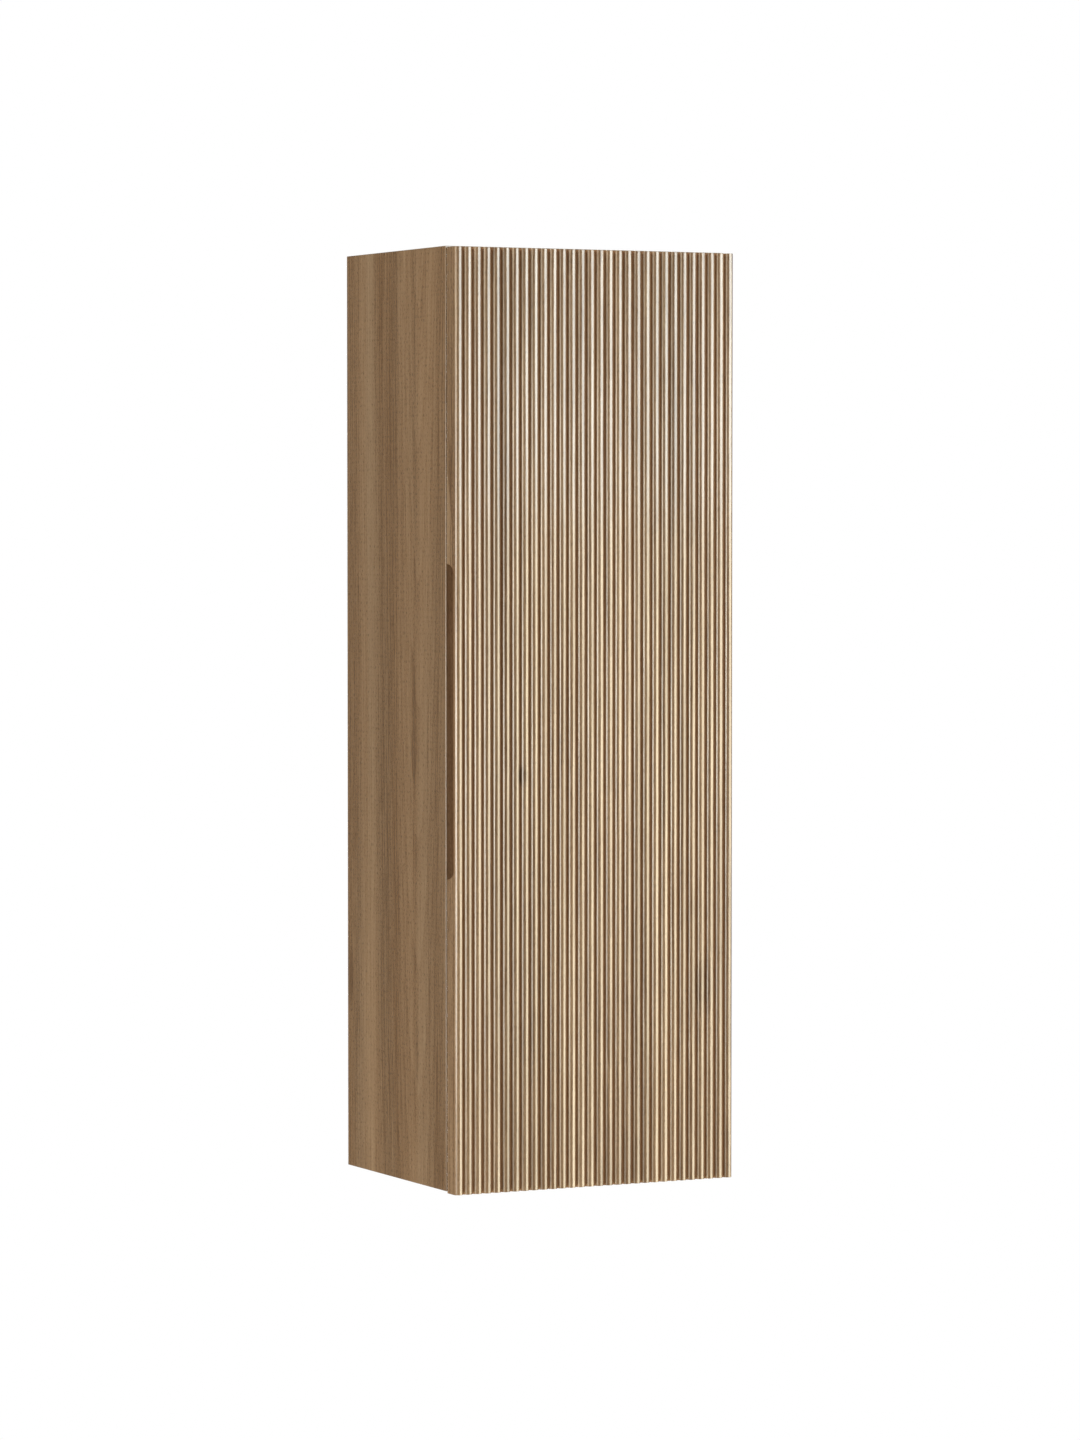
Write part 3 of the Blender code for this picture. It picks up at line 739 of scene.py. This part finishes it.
def made_once(make):
    """Turn a function that says a finish's inputs into one that gives the finish."""
    name = make.__name__.replace("_", " ")

    def give(context):
        if name not in finishes:
            finishes[name], tree = new_finish(name)
            end_finish(tree, make(tree, context.scene.cabinet_colours))
        return finishes[name]

    return give


def feed(tree, socket, value):
    """Give an input a plain value or another node's output."""
    if isinstance(value, bpy.types.NodeSocket):
        tree.links.new(value, socket)
    else:
        socket.default_value = value


def put(tree, kind, inputs=None, **settings):
    """Add a node with its settings and inputs."""
    node = tree.nodes.new("ShaderNode" + kind)
    for name, value in settings.items():
        setattr(node, name, value)
    for name, value in (inputs or {}).items():
        feed(tree, node.inputs[name], value)
    return node


def new_finish(name):
    material = bpy.data.materials.new(name)
    material.use_nodes = True
    material.node_tree.nodes.clear()
    return material, material.node_tree


def end_finish(tree, inputs):
    shader = put(tree, "BsdfPrincipled", inputs)
    put(tree, "OutputMaterial", {"Surface": shader.outputs["BSDF"]})


def opaque(colour):
    return (*colour, 1.0)


def toned(colour, share):
    """The colour made darker, or paler with a share over 1."""
    return opaque([share * channel for channel in colour])


def object_place(tree):
    return put(tree, "TexCoord").outputs["Object"]


def mapped(tree, place, change, amounts):
    inputs = {"Vector": place, change: amounts}
    return put(tree, "Mapping", inputs).outputs["Vector"]


def stretched(tree, place, scale):
    """The place with one scale for each axis, so that a pattern runs along the grain."""
    return mapped(tree, place, "Scale", scale)


def turned(tree, place, turn):
    return mapped(tree, place, "Rotation", turn)


def noise(tree, place, scale, detail, roughness=0.5, board=0.0):
    """Soft noise. Each board number gives a noise of its own."""
    inputs = {
        "Vector": stretched(tree, place, scale),
        "W": board,
        "Scale": 1.0,
        "Detail": detail,
        "Roughness": roughness,
    }
    return put(tree, "TexNoise", inputs, noise_dimensions="4D")


def even_noise(tree, place, scale, detail):
    """Soft noise of one scale in all directions."""
    return noise(tree, place, (scale, scale, scale), detail).outputs["Fac"]


def vector_sums(tree, operation, first, second=None, scale=None):
    node = put(tree, "VectorMath", operation=operation)
    feed(tree, node.inputs[0], first)
    if second is not None:
        feed(tree, node.inputs[1], second)
    if scale is not None:
        feed(tree, node.inputs["Scale"], scale)
    return node.outputs["Value" if operation == "LENGTH" else "Vector"]


def sums(tree, operation, first, second):
    node = put(tree, "Math", operation=operation)
    feed(tree, node.inputs[0], first)
    feed(tree, node.inputs[1], second)
    return node.outputs[0]


def weighted(tree, parts):
    """Sum of outputs, each times its weight."""
    total = None
    for output, weight in parts:
        term = sums(tree, "MULTIPLY", output, weight)
        total = term if total is None else sums(tree, "ADD", total, term)
    return total


def spread(tree, value, low, high, to_low=0.0, to_high=1.0):
    """The value from low to high, spread over the other two numbers and kept there."""
    limits = {"From Min": low, "From Max": high, "To Min": to_low, "To Max": to_high}
    inputs = {"Value": value, **limits}
    return put(tree, "MapRange", inputs, clamp=True).outputs["Result"]


# Numbers of a Mix node's sockets when it mixes colours.
mix_share, mix_first, mix_second, mix_result = 0, 6, 7, 2


def blended(tree, share, first, second, blend_type="MIX"):
    node = put(tree, "Mix", data_type="RGBA", blend_type=blend_type)
    for number, value in ((mix_share, share), (mix_first, first), (mix_second, second)):
        feed(tree, node.inputs[number], value)
    return node.outputs[mix_result]


def mottled(tree, pattern, colour, dark, low=0.3, high=0.7):
    """The colour, made darker by a share where the pattern is low."""
    share = spread(tree, pattern, low, high)
    return blended(tree, share, toned(colour, dark), opaque(colour))


def relief(tree, height, strength, depth):
    """Small bumps of this depth, as the surface's direction."""
    inputs = {"Height": height, "Strength": strength, "Distance": depth}
    return put(tree, "Bump", inputs).outputs["Normal"]


knot_reach, knot_pull = 1.6, -0.7
knot_rim, knot_heart = 1.1, 0.45


def bend_round_knots(tree, place, knots):
    """Lead the grain round each knot, and say how dark the knots make the wood."""
    shadow = None
    for middle, radii, depth in knots:
        away = vector_sums(tree, "SUBTRACT", place, middle)
        shrink = tuple(1 / radius for radius in radii)
        far = vector_sums(tree, "LENGTH", stretched(tree, away, shrink))
        pull = spread(tree, far, 0.0, knot_reach, knot_pull, 0.0)
        shift = vector_sums(tree, "SCALE", away, scale=pull)
        place = vector_sums(tree, "ADD", place, shift)
        core = spread(tree, far, knot_rim, knot_heart, 0.0, depth)
        shadow = core if shadow is None else sums(tree, "MAXIMUM", shadow, core)
    return place, shadow


def band_tones(tree, place, bands):
    """Broad upright bands, each a middle along Y, a half width, an edge and a strength."""
    along_y = put(tree, "SeparateXYZ", {"Vector": place}).outputs["Y"]
    parts = []
    for middle, half_width, edge, strength in bands:
        away = sums(tree, "ABSOLUTE", sums(tree, "SUBTRACT", along_y, middle), 0.0)
        inside = spread(tree, away, half_width + edge, half_width - edge)
        parts.append((inside, strength))
    return parts


# Soft edge of the groove mask, share of the grooves' painted light, and the soft rim of the pull's
# painted shade.
groove_mask_edge = 0.0005
groove_painted_light_share = 0.85
pull_rim, pull_wall = 1.06, 1.01


def groove_share(tree, groove):
    """1 on the floor of the door's grooves, 0 on the ribs, the door's edges and back. It places the
    grooves' painted light and their dull finish.
    """
    half_width, start, floor = groove
    place = put(tree, "SeparateXYZ", {"Vector": object_place(tree)})
    depth = place.outputs["Y"]
    inward = spread(tree, depth, start, floor)
    before_back = spread(tree, depth, floor, floor + groove_mask_edge, 1.0, 0.0)
    sideways = sums(tree, "ABSOLUTE", place.outputs["X"], 0.0)
    between_edges = spread(tree, sideways, half_width - groove_mask_edge, half_width, 1.0, 0.0)
    share = sums(tree, "MULTIPLY", inward, before_back)
    return sums(tree, "MULTIPLY", share, between_edges)


def pull_share(tree, pull):
    """1 on the milled wall of the finger pull, 0 outside it. It places the pull's painted shade and
    its dull finish.
    """
    middle, radii, stretch = pull
    away = vector_sums(tree, "SUBTRACT", object_place(tree), middle)
    apart = put(tree, "SeparateXYZ", {"Vector": away})
    height = sums(tree, "ABSOLUTE", apart.outputs["Z"], 0.0)
    past_stretch = sums(tree, "MAXIMUM", sums(tree, "SUBTRACT", height, stretch), 0.0)
    ends = {"X": apart.outputs["X"], "Y": apart.outputs["Y"], "Z": past_stretch}
    folded = put(tree, "CombineXYZ", ends).outputs["Vector"]
    shrink = tuple(1 / radius for radius in radii)
    far = vector_sums(tree, "LENGTH", stretched(tree, folded, shrink))
    return spread(tree, far, pull_rim, pull_wall)


# How the grain lies: its turn, sway and slope, its contrast and the lacquer's polish.
pith_slope, grain_sway = 0.04, 0.022
lays = {
    "front": ((0, 0, 0), (grain_sway, 0, 0), (pith_slope, 0, 0), 1.0, 1.0),
    "side": ((0, 0, 0), (0, grain_sway, 0), (0, pith_slope, 0), 0.56, 1.0),
    "far side": ((0, 0, 0), (0, grain_sway, 0), (0, pith_slope, 0), 0.56, 0.45),
    "flat": ((0, math.pi / 2, 0), (0, grain_sway, 0), (0, pith_slope, 0), 0.8, 0.2),
}


# Patterns along the grain: scales across and along it, detail and weight.
grain_patterns = {
    "bands": (24.0, 0.7, 1.0, 0.90),
    "stripes": (78.0, 1.2, 1.0, 0.65),
    "streaks": (300.0, 3.0, 1.0, 0.95),
    "fibres": (800.0, 12.0, 2.0, 1.30),
}
ring_pattern = {"Scale": 46.0, "Distortion": 2.2, "Detail": 2.0, "Detail Scale": 0.6}
wander_scale = (5.0, 5.0, 1.8)
fleck_scale = (420.0, 420.0, 30.0)
drift_scale = (18.0, 18.0, 0.9)
pore_scale = (1500.0, 1500.0, 190.0)
ring_weight, fleck_weight = 0.24, 0.36
fleck_board, drift_board = 5.0, 3.0
tone_reach, shine_reach = 0.36, 0.3
grey_cast = (0.44, 0.60, 0.0, 0.55)
pore_shadow = (0.53, 0.64, 0.0, 0.42)
streak_gloss = (0.22, 0.16)
dark_shine, bare_shine = 0.70, 0.1
lacquer_share = 0.35
dull_lacquer = 0.3
raw_dullness, milled_dullness = 0.6, 0.7
relief_strength, relief_depth = 0.16, 0.0004


def lie_of_grain(tree, place, pith, lay, board):
    """The place measured along and across the grain, and the growth rings there."""
    turn, sway_sizes, slope = lays[lay][:3]
    upright = turned(tree, vector_sums(tree, "SUBTRACT", place, pith), turn)
    wander = noise(tree, upright, wander_scale, 2.0, board=board)
    sway = stretched(tree, wander.outputs["Color"], sway_sizes)
    grain = vector_sums(tree, "ADD", upright, sway)
    flat = stretched(tree, turned(tree, grain, slope), (1.0, 1.0, 0.0))
    inputs = {"Vector": flat, **ring_pattern}
    shape = {"wave_type": "RINGS", "rings_direction": "Z", "wave_profile": "SAW"}
    return grain, put(tree, "TexWave", inputs, **shape).outputs["Fac"]


def grain_layers(tree, grain, rings, board, contrast):
    """The patterns that make up the tone of the wood, each with its weight."""
    layers = {"rings": (rings, ring_weight * contrast)}
    for name, (across, along, detail, weight) in grain_patterns.items():
        pattern = noise(tree, grain, (across, across, along), detail, 0.6, board)
        layers[name] = (pattern.outputs["Fac"], weight * contrast)
    flecks = noise(tree, grain, fleck_scale, 1.0, board=board + fleck_board)
    layers["flecks"] = (flecks.outputs["Fac"], fleck_weight)
    return layers


def oak_colour(tree, colours, tone, middle, grain, board):
    """Dark, usual and pale wood after the tone, with a grey cast that drifts over it."""
    dark_share = spread(tree, tone, middle, middle - tone_reach)
    light_share = spread(tree, tone, middle, middle + tone_reach)
    colour = blended(tree, dark_share, opaque(colours.oak_middle), opaque(colours.oak_dark))
    colour = blended(tree, light_share, colour, opaque(colours.oak_light))
    drift = noise(tree, grain, drift_scale, 1.0, board=board + drift_board)
    grey_share = spread(tree, drift.outputs["Fac"], *grey_cast)
    return blended(tree, grey_share, colour, opaque(colours.oak_grey), "SOFT_LIGHT")


def without_lacquer(tree, share, dullness, gloss, shine, lacquer):
    """Gloss, shine and lacquer where a share of the surface is bare, dull wood."""
    gloss = sums(tree, "MAXIMUM", gloss, spread(tree, share, 0.0, 1.0, 0.0, dullness))
    shine = sums(tree, "MULTIPLY", shine, spread(tree, share, 0.0, 1.0, 1.0, bare_shine))
    lacquer = sums(tree, "MULTIPLY", lacquer, spread(tree, share, 0.0, 1.0, 1.0, 0.0))
    return gloss, shine, lacquer


def oak(context, name, board, pith, lay, knots=(), bands=(), groove=None, pull=None):
    """Satin lacquered oak veneer. The grain runs along Z, or along X on a flat board.

    The wood is dull in the grooves and in the finger pull, if they are given. The grooves are painted
    paler and warmer, as painted light in their shade, and the pull is painted dark, as painted shade.
    """
    colours = context.scene.cabinet_colours
    contrast, polish = lays[lay][3:]
    material, tree = new_finish(name)
    place, knot_shadow = bend_round_knots(tree, object_place(tree), knots)
    grain, rings = lie_of_grain(tree, place, pith, lay, board)
    layers = grain_layers(tree, grain, rings, board, contrast)
    middle = sum(weight for pattern, weight in layers.values()) / 2
    tone = weighted(tree, [*layers.values(), *band_tones(tree, place, bands)])
    colour = oak_colour(tree, colours, tone, middle, grain, board)
    pores = noise(tree, grain, pore_scale, 1.0, board=board).outputs["Fac"]
    pore_share = spread(tree, pores, *pore_shadow)
    colour = blended(tree, pore_share, colour, opaque(colours.oak_pore), "MULTIPLY")
    streaks, fibres = layers["streaks"][0], layers["fibres"][0]
    dullness = dull_lacquer * (1 - polish)
    gloss = spread(tree, streaks, 0.3, 0.7, *(value + dullness for value in streak_gloss))
    low, high = middle - shine_reach, middle + shine_reach
    shine = spread(tree, tone, low, high, dark_shine * polish, polish)
    surface = (gloss, shine, lacquer_share * polish)
    if groove is not None:
        # Painted light: the grooves are painted paler and warmer, which lifts their shade; they also
        # lose the lacquer's gloss.
        dull_and_painted_light = groove_share(tree, groove)
        share = sums(tree, "MULTIPLY", dull_and_painted_light, groove_painted_light_share)
        colour = blended(tree, share, colour, opaque(colours.groove_painted_light))
        surface = without_lacquer(tree, dull_and_painted_light, raw_dullness, *surface)
    if pull is not None:
        # Painted shade: the finger pull's wall is painted dark, and it also loses the lacquer's
        # gloss.
        milled = pull_share(tree, pull)
        colour = blended(tree, milled, colour, opaque(colours.pull_painted_shade))
        surface = without_lacquer(tree, milled, milled_dullness, *surface)
    if knot_shadow is not None:
        colour = blended(tree, knot_shadow, colour, opaque(colours.oak_knot))
    gloss, shine, lacquer = surface
    height = weighted(tree, ((fibres, 1.0), (pores, -0.5)))
    bumps = relief(tree, height, relief_strength, relief_depth)
    inputs = {
        "Base Color": colour,
        "Roughness": gloss,
        "IOR": 1.75,
        "Specular IOR Level": shine,
        "Specular Tint": (1.0, 0.94, 0.80, 1.0),
        "Normal": bumps,
        "Coat Weight": lacquer,
        "Coat IOR": 1.5,
        "Coat Roughness": 0.08,
        "Coat Normal": bumps,
    }
    end_finish(tree, inputs)
    return material


@made_once
def raw_board(tree, colours):
    """Bare particle board: pale and brown chips pressed flat."""
    colour = colours.board_raw
    brown_chip, pale_chip, gap = (toned(colour, share) for share in (0.62, 1.25, 0.4))
    place = object_place(tree)
    cells = {"Vector": stretched(tree, place, (260.0, 420.0, 420.0)), "Scale": 1.0}
    chips = put(tree, "TexVoronoi", cells).outputs["Color"]
    speckle = even_noise(tree, place, 900.0, 3.0)
    base = blended(tree, spread(tree, chips, 0.1, 0.9), brown_chip, pale_chip)
    base = blended(tree, spread(tree, speckle, 0.52, 0.75, 0.0, 0.5), base, gap)
    bumps = relief(tree, speckle, 0.4, 0.0003)
    return {"Base Color": base, "Roughness": 0.75, "Normal": bumps}


@made_once
def bare_beech(tree, colours):
    """Unfinished beech with its short dark flecks along X."""
    flecks = noise(tree, object_place(tree), (300.0, 2200.0, 2200.0), 2.0).outputs["Fac"]
    base = mottled(tree, flecks, colours.beech, 0.72, 0.35, 0.65)
    bumps = relief(tree, flecks, 0.3, 0.0002)
    return {"Base Color": base, "Roughness": 0.7, "Normal": bumps}


@made_once
def plated_steel(tree, colours):
    """Nickel-plated pressed steel with faint drawing marks."""
    place = object_place(tree)
    marks = noise(tree, place, (400.0, 400.0, 4000.0), 3.0).outputs["Fac"]
    clouds = even_noise(tree, place, 180.0, 2.0)
    return {
        "Base Color": mottled(tree, clouds, colours.steel, 0.86),
        "Metallic": 1.0,
        "Roughness": spread(tree, marks, 0.3, 0.7, 0.20, 0.34),
        "Normal": relief(tree, marks, 0.08, 0.0001),
    }


@made_once
def hanger_plastic(tree, colours):
    """Moulded plastic with a fine spark-eroded grain."""
    place = object_place(tree)
    grain = even_noise(tree, place, 2600.0, 2.0)
    clouds = even_noise(tree, place, 90.0, 2.0)
    return {
        "Base Color": mottled(tree, clouds, colours.plastic, 0.93),
        "Roughness": spread(tree, grain, 0.3, 0.7, 0.42, 0.56),
        "Normal": relief(tree, grain, 0.2, 0.0001),
    }


@made_once
def bumper_rubber(tree, colours):
    """A clear soft pad, cloudy and slightly tacky."""
    clouds = even_noise(tree, object_place(tree), 700.0, 2.0)
    return {
        "Base Color": mottled(tree, clouds, colours.rubber, 0.85),
        "Roughness": spread(tree, clouds, 0.3, 0.7, 0.22, 0.34),
        "Subsurface Weight": 0.35,
        "Subsurface Radius": (0.004, 0.004, 0.004),
        "Subsurface Scale": 0.5,
    }


# Board numbers set the noise of each board. The door is number 1.
first_board, back_board = 2, 11.0
back_pith = (0.05, 0.04, 0.0)

# Knots: middle, radii and darkness. Bands: middle along Y, half width, edge, strength.
side_knots = (
    ((-0.2, -0.2060, -0.470), (0.020, 0.007, 0.110), 0.34),
    ((-0.2, -0.2050, -0.508), (0.020, 0.009, 0.030), 0.42),
    ((-0.2, -0.2135, -0.910), (0.020, 0.006, 0.055), 0.28),
    ((-0.2, -0.0100, -0.825), (0.020, 0.012, 0.045), 0.36),
)
side_bands = (
    (0.0, 0.020, 0.018, -0.09),
    (-0.064, 0.023, 0.004, 0.08),
    (-0.122, 0.035, 0.004, -0.13),
    (-0.205, 0.008, 0.003, -0.09),
    (-0.222, 0.009, 0.005, 0.05),
    (-0.290, 0.025, 0.022, -0.08),
)


class CABINET_OT_veneer(bpy.types.Operator):
    """Veneer the body's boards, each with its own figure, and finish rails and dowels"""

    bl_idname = "cabinet.veneer"
    bl_label = "Veneer"

    def execute(self, context):
        width = context.scene.cabinet_fittings.board_softness
        figures = {
            "left_side_panel": ((-0.15, -0.205, 0.0), "side", side_knots, side_bands),
            "right_side_panel": ((0.15, -0.12, 0.0), "far side"),
            "top_panel": ((0.0, -0.10, 0.17), "flat"),
            "bottom_panel": ((0.0, -0.18, -1.02), "flat"),
            "shelf_lower": ((0.0, -0.07, -0.72), "flat"),
            "shelf_middle": ((0.0, -0.21, -0.43), "flat"),
            "shelf_upper": ((0.0, -0.14, -0.14), "flat"),
        }
        for number, (node, figure) in enumerate(figures.items(), first_board):
            material = oak(context, f"{node} oak", float(number), *figure)
            dress_fitting(node, f"{node}_veneered", width, material)
        back = oak(context, "back_panel oak", back_board, back_pith, "front")
        give_finish(frame["nodes"]["back_panel"], back)
        for node in ("hanging_rail", "lower_back_rail"):
            give_finish(frame["nodes"][node], raw_board(context))
        for node in frame["nodes"]:
            if node.startswith("dowel_"):
                give_finish(frame["nodes"][node], bare_beech(context))
        return {"FINISHED"}


# Studio


def aim(item, place, target):
    item.location = place
    item.rotation_euler = (Vector(target) - Vector(place)).to_track_quat("-Z", "Y").to_euler()


def round_door(azimuth, distance, height):
    """A place round the door's face. Azimuth 0 is straight in front of it."""
    angle = math.radians(azimuth)
    x = door_face_middle.x + distance * math.sin(angle)
    y = door_face_middle.y - distance * math.cos(angle)
    return Vector((x, y, height))


def softbox(name, azimuth, distance, low, high, width, power, colour):
    """An upright rectangular lamp that faces the door."""
    lamp = bpy.data.lights.new(name, "AREA")
    lamp.shape = "RECTANGLE"
    lamp.size = width
    lamp.size_y = high - low
    lamp.energy = power
    lamp.color = colour
    item = new_object(name, lamp)
    item.visible_camera = False
    height = (low + high) / 2
    aim(item, round_door(azimuth, distance, height), (*door_face_middle.xy, height))
    return item


def tilted_lamp(name, rise, power, colour, azimuth, distance, size):
    """A square lamp above or below the door's middle, aimed at it."""
    lamp = softbox(name, azimuth, distance, -size / 2, size / 2, size, power, colour)
    place = round_door(azimuth, distance, door_face_middle.z + rise)
    aim(lamp, place, door_face_middle)


def seen_rays(tree):
    """1 for camera, mirror and see-through rays, 0 for the light on surfaces."""
    path = put(tree, "LightPath")
    seen = sums(tree, "MAXIMUM", path.outputs["Is Camera Ray"], path.outputs["Is Glossy Ray"])
    return sums(tree, "MAXIMUM", seen, path.outputs["Is Transmission Ray"])


ground = (1.0, 1.0, 1.0, 1.0)


def set_world(studio):
    """A white ground for the camera and for mirror rays, and an even fill light."""
    world = bpy.data.worlds.new("studio")
    bpy.context.scene.world = world
    world.use_nodes = True
    tree = world.node_tree
    tree.nodes.clear()
    fill = put(tree, "Background", {"Color": ground, "Strength": studio.fill})
    white = put(tree, "Background", {"Color": ground, "Strength": 1.0})
    mix = put(tree, "MixShader", {"Fac": seen_rays(tree)})
    tree.links.new(fill.outputs[0], mix.inputs[1])
    tree.links.new(white.outputs[0], mix.inputs[2])
    put(tree, "OutputWorld", {"Surface": mix.outputs[0]})


curtain_radius, curtain_height = 3.2, 4.2
curtain_facets = 64
curtain_grey = (0.05, 0.05, 0.05, 1.0)


def set_curtain():
    """A dark cloth all round, open above, that keeps stray light off the wood."""
    deselect_all()
    bpy.ops.mesh.primitive_cylinder_add(
        vertices=curtain_facets,
        radius=curtain_radius,
        depth=curtain_height,
        end_fill_type="NOTHING",
        location=door_face_middle,
    )
    curtain = take_primitive("studio_curtain")
    curtain.visible_camera = False
    material, tree = new_finish("studio curtain")
    cloth = put(tree, "BsdfDiffuse", {"Color": curtain_grey})
    put(tree, "OutputMaterial", {"Surface": cloth.outputs[0]})
    give_finish(curtain, material)


film_height = 36.0
nearest, farthest = 0.1, 60.0
camera_place = (-2.9843, -6.0957, -0.2144)
camera_pitch = math.radians(90 - 2.309)
camera_yaw = math.radians(-26.724)


def set_camera(studio):
    camera = bpy.data.cameras.new("camera")
    camera.sensor_width = film_height
    camera.sensor_fit = "AUTO"
    camera.lens = studio.focal_length
    camera.clip_start = nearest
    camera.clip_end = farthest
    item = new_object("camera", camera)
    item.location = camera_place
    item.rotation_euler = (camera_pitch, 0, camera_yaw)
    bpy.context.scene.camera = item


# Softboxes: direction round the door, distance, lower and upper edge, and width.
right_box = {"azimuth": 49.5, "distance": 1.7, "low": -1.55, "high": -0.22, "width": 1.77}
upper_box = {"azimuth": 43, "distance": 1.7, "low": -0.22, "high": 0.42, "width": 2.0}
rear_box = {"azimuth": 180, "distance": 2.2, "low": -1.5, "high": 0.5, "width": 0.6}
left_box = {"azimuth": -66.5, "distance": 2.7, "width": 2.35}
front_lamp = {"azimuth": 0, "distance": 1.3, "size": 0.6}
side_lamp = {"azimuth": -84, "distance": 1.8, "size": 1.0}
warm, cool = (1, 0.95, 0.82), (0.86, 0.93, 1)
front_white, side_white = (1, 0.97, 0.92), (1, 0.985, 0.96)

# Tilted lamps: name, rise above the door's middle and share of the power.
front_lamps = (("high front lamp", 1.5, 0.5), ("low front lamp", -1.5, 1.0))
side_lamps = (("high side lamp", 2.4, 0.98), ("low side lamp", -2.4, 1.12))

# The left softboxes: name, height of the middle, share of the power and colour.
left_box_height = 0.42
left_boxes = (
    ("top left softbox", 0.24, 0.32, (1, 0.94, 0.86)),
    ("upper left softbox", -0.18, 0.74, (0.98, 0.96, 0.95)),
    ("middle left softbox", -0.60, 1.0, (0.93, 0.955, 1)),
    ("lower left softbox", -1.02, 0.76, (0.94, 0.96, 1)),
    ("bottom left softbox", -1.44, 0.36, (1, 0.94, 0.86)),
)


class CABINET_OT_studio(bpy.types.Operator):
    """Set up the white ground, the soft lamps and the camera"""

    bl_idname = "cabinet.studio"
    bl_label = "Studio"

    def execute(self, context):
        studio = context.scene.cabinet_studio
        softbox("right softbox", power=studio.right_lamp, colour=warm, **right_box)
        for name, rise, share in front_lamps:
            tilted_lamp(name, rise, share * studio.front_lamps, front_white, **front_lamp)
        for name, middle, share, colour in left_boxes:
            low, high = middle - left_box_height / 2, middle + left_box_height / 2
            power = share * studio.left_lamp
            softbox(name, low=low, high=high, power=power, colour=colour, **left_box)
        softbox("upper softbox", power=studio.upper_lamp, colour=cool, **upper_box)
        for name, rise, share in side_lamps:
            tilted_lamp(name, rise, share * studio.side_lamps, side_white, **side_lamp)
        softbox("rear softbox", power=studio.rear_lamp, colour=side_white, **rear_box)
        set_world(studio)
        set_curtain()
        set_camera(studio)
        context.scene.view_settings.view_transform = "Standard"
        return {"FINISHED"}


class CABINET_PT_sidebar(bpy.types.Panel):
    """Sidebar panel that lists the cabinet's settings and steps"""

    bl_label = "Wall cabinet"
    bl_idname = "CABINET_PT_sidebar"
    bl_space_type = "VIEW_3D"
    bl_region_type = "UI"
    bl_category = "Cabinet"

    def draw(self, context):
        layout = self.layout
        scene = context.scene
        for title, group in settings_groups.items():
            box = layout.box()
            box.label(text=group.bl_rna.description or title)
            settings = getattr(scene, title)
            for setting in group.__annotations__:
                box.prop(settings, setting)
        for step in steps:
            layout.operator(step.bl_idname)


settings_groups = {
    "cabinet_door": CabinetDoorSizes,
    "cabinet_fittings": CabinetFittingSizes,
    "cabinet_colours": CabinetColours,
    "cabinet_studio": CabinetStudio,
}
steps = (
    CABINET_OT_door,
    CABINET_OT_veneer,
    CABINET_OT_hinges,
    CABINET_OT_shelf_pins,
    CABINET_OT_hangers,
    CABINET_OT_bumpers,
    CABINET_OT_screws,
    CABINET_OT_studio,
)


def register():
    for group in settings_groups.values():
        bpy.utils.register_class(group)
    for step in steps:
        bpy.utils.register_class(step)
    bpy.utils.register_class(CABINET_PT_sidebar)
    for title, group in settings_groups.items():
        setattr(bpy.types.Scene, title, bpy.props.PointerProperty(type=group))


def unregister():
    for title in settings_groups:
        delattr(bpy.types.Scene, title)
    bpy.utils.unregister_class(CABINET_PT_sidebar)
    for step in reversed(steps):
        bpy.utils.unregister_class(step)
    for group in reversed(tuple(settings_groups.values())):
        bpy.utils.unregister_class(group)


def main():
    register()
    bpy.ops.cabinet.door()
    bpy.ops.cabinet.veneer()
    bpy.ops.cabinet.hinges()
    bpy.ops.cabinet.shelf_pins()
    bpy.ops.cabinet.hangers()
    bpy.ops.cabinet.bumpers()
    bpy.ops.cabinet.screws()
    bpy.ops.cabinet.studio()


if __name__ == "__main__":
    main()
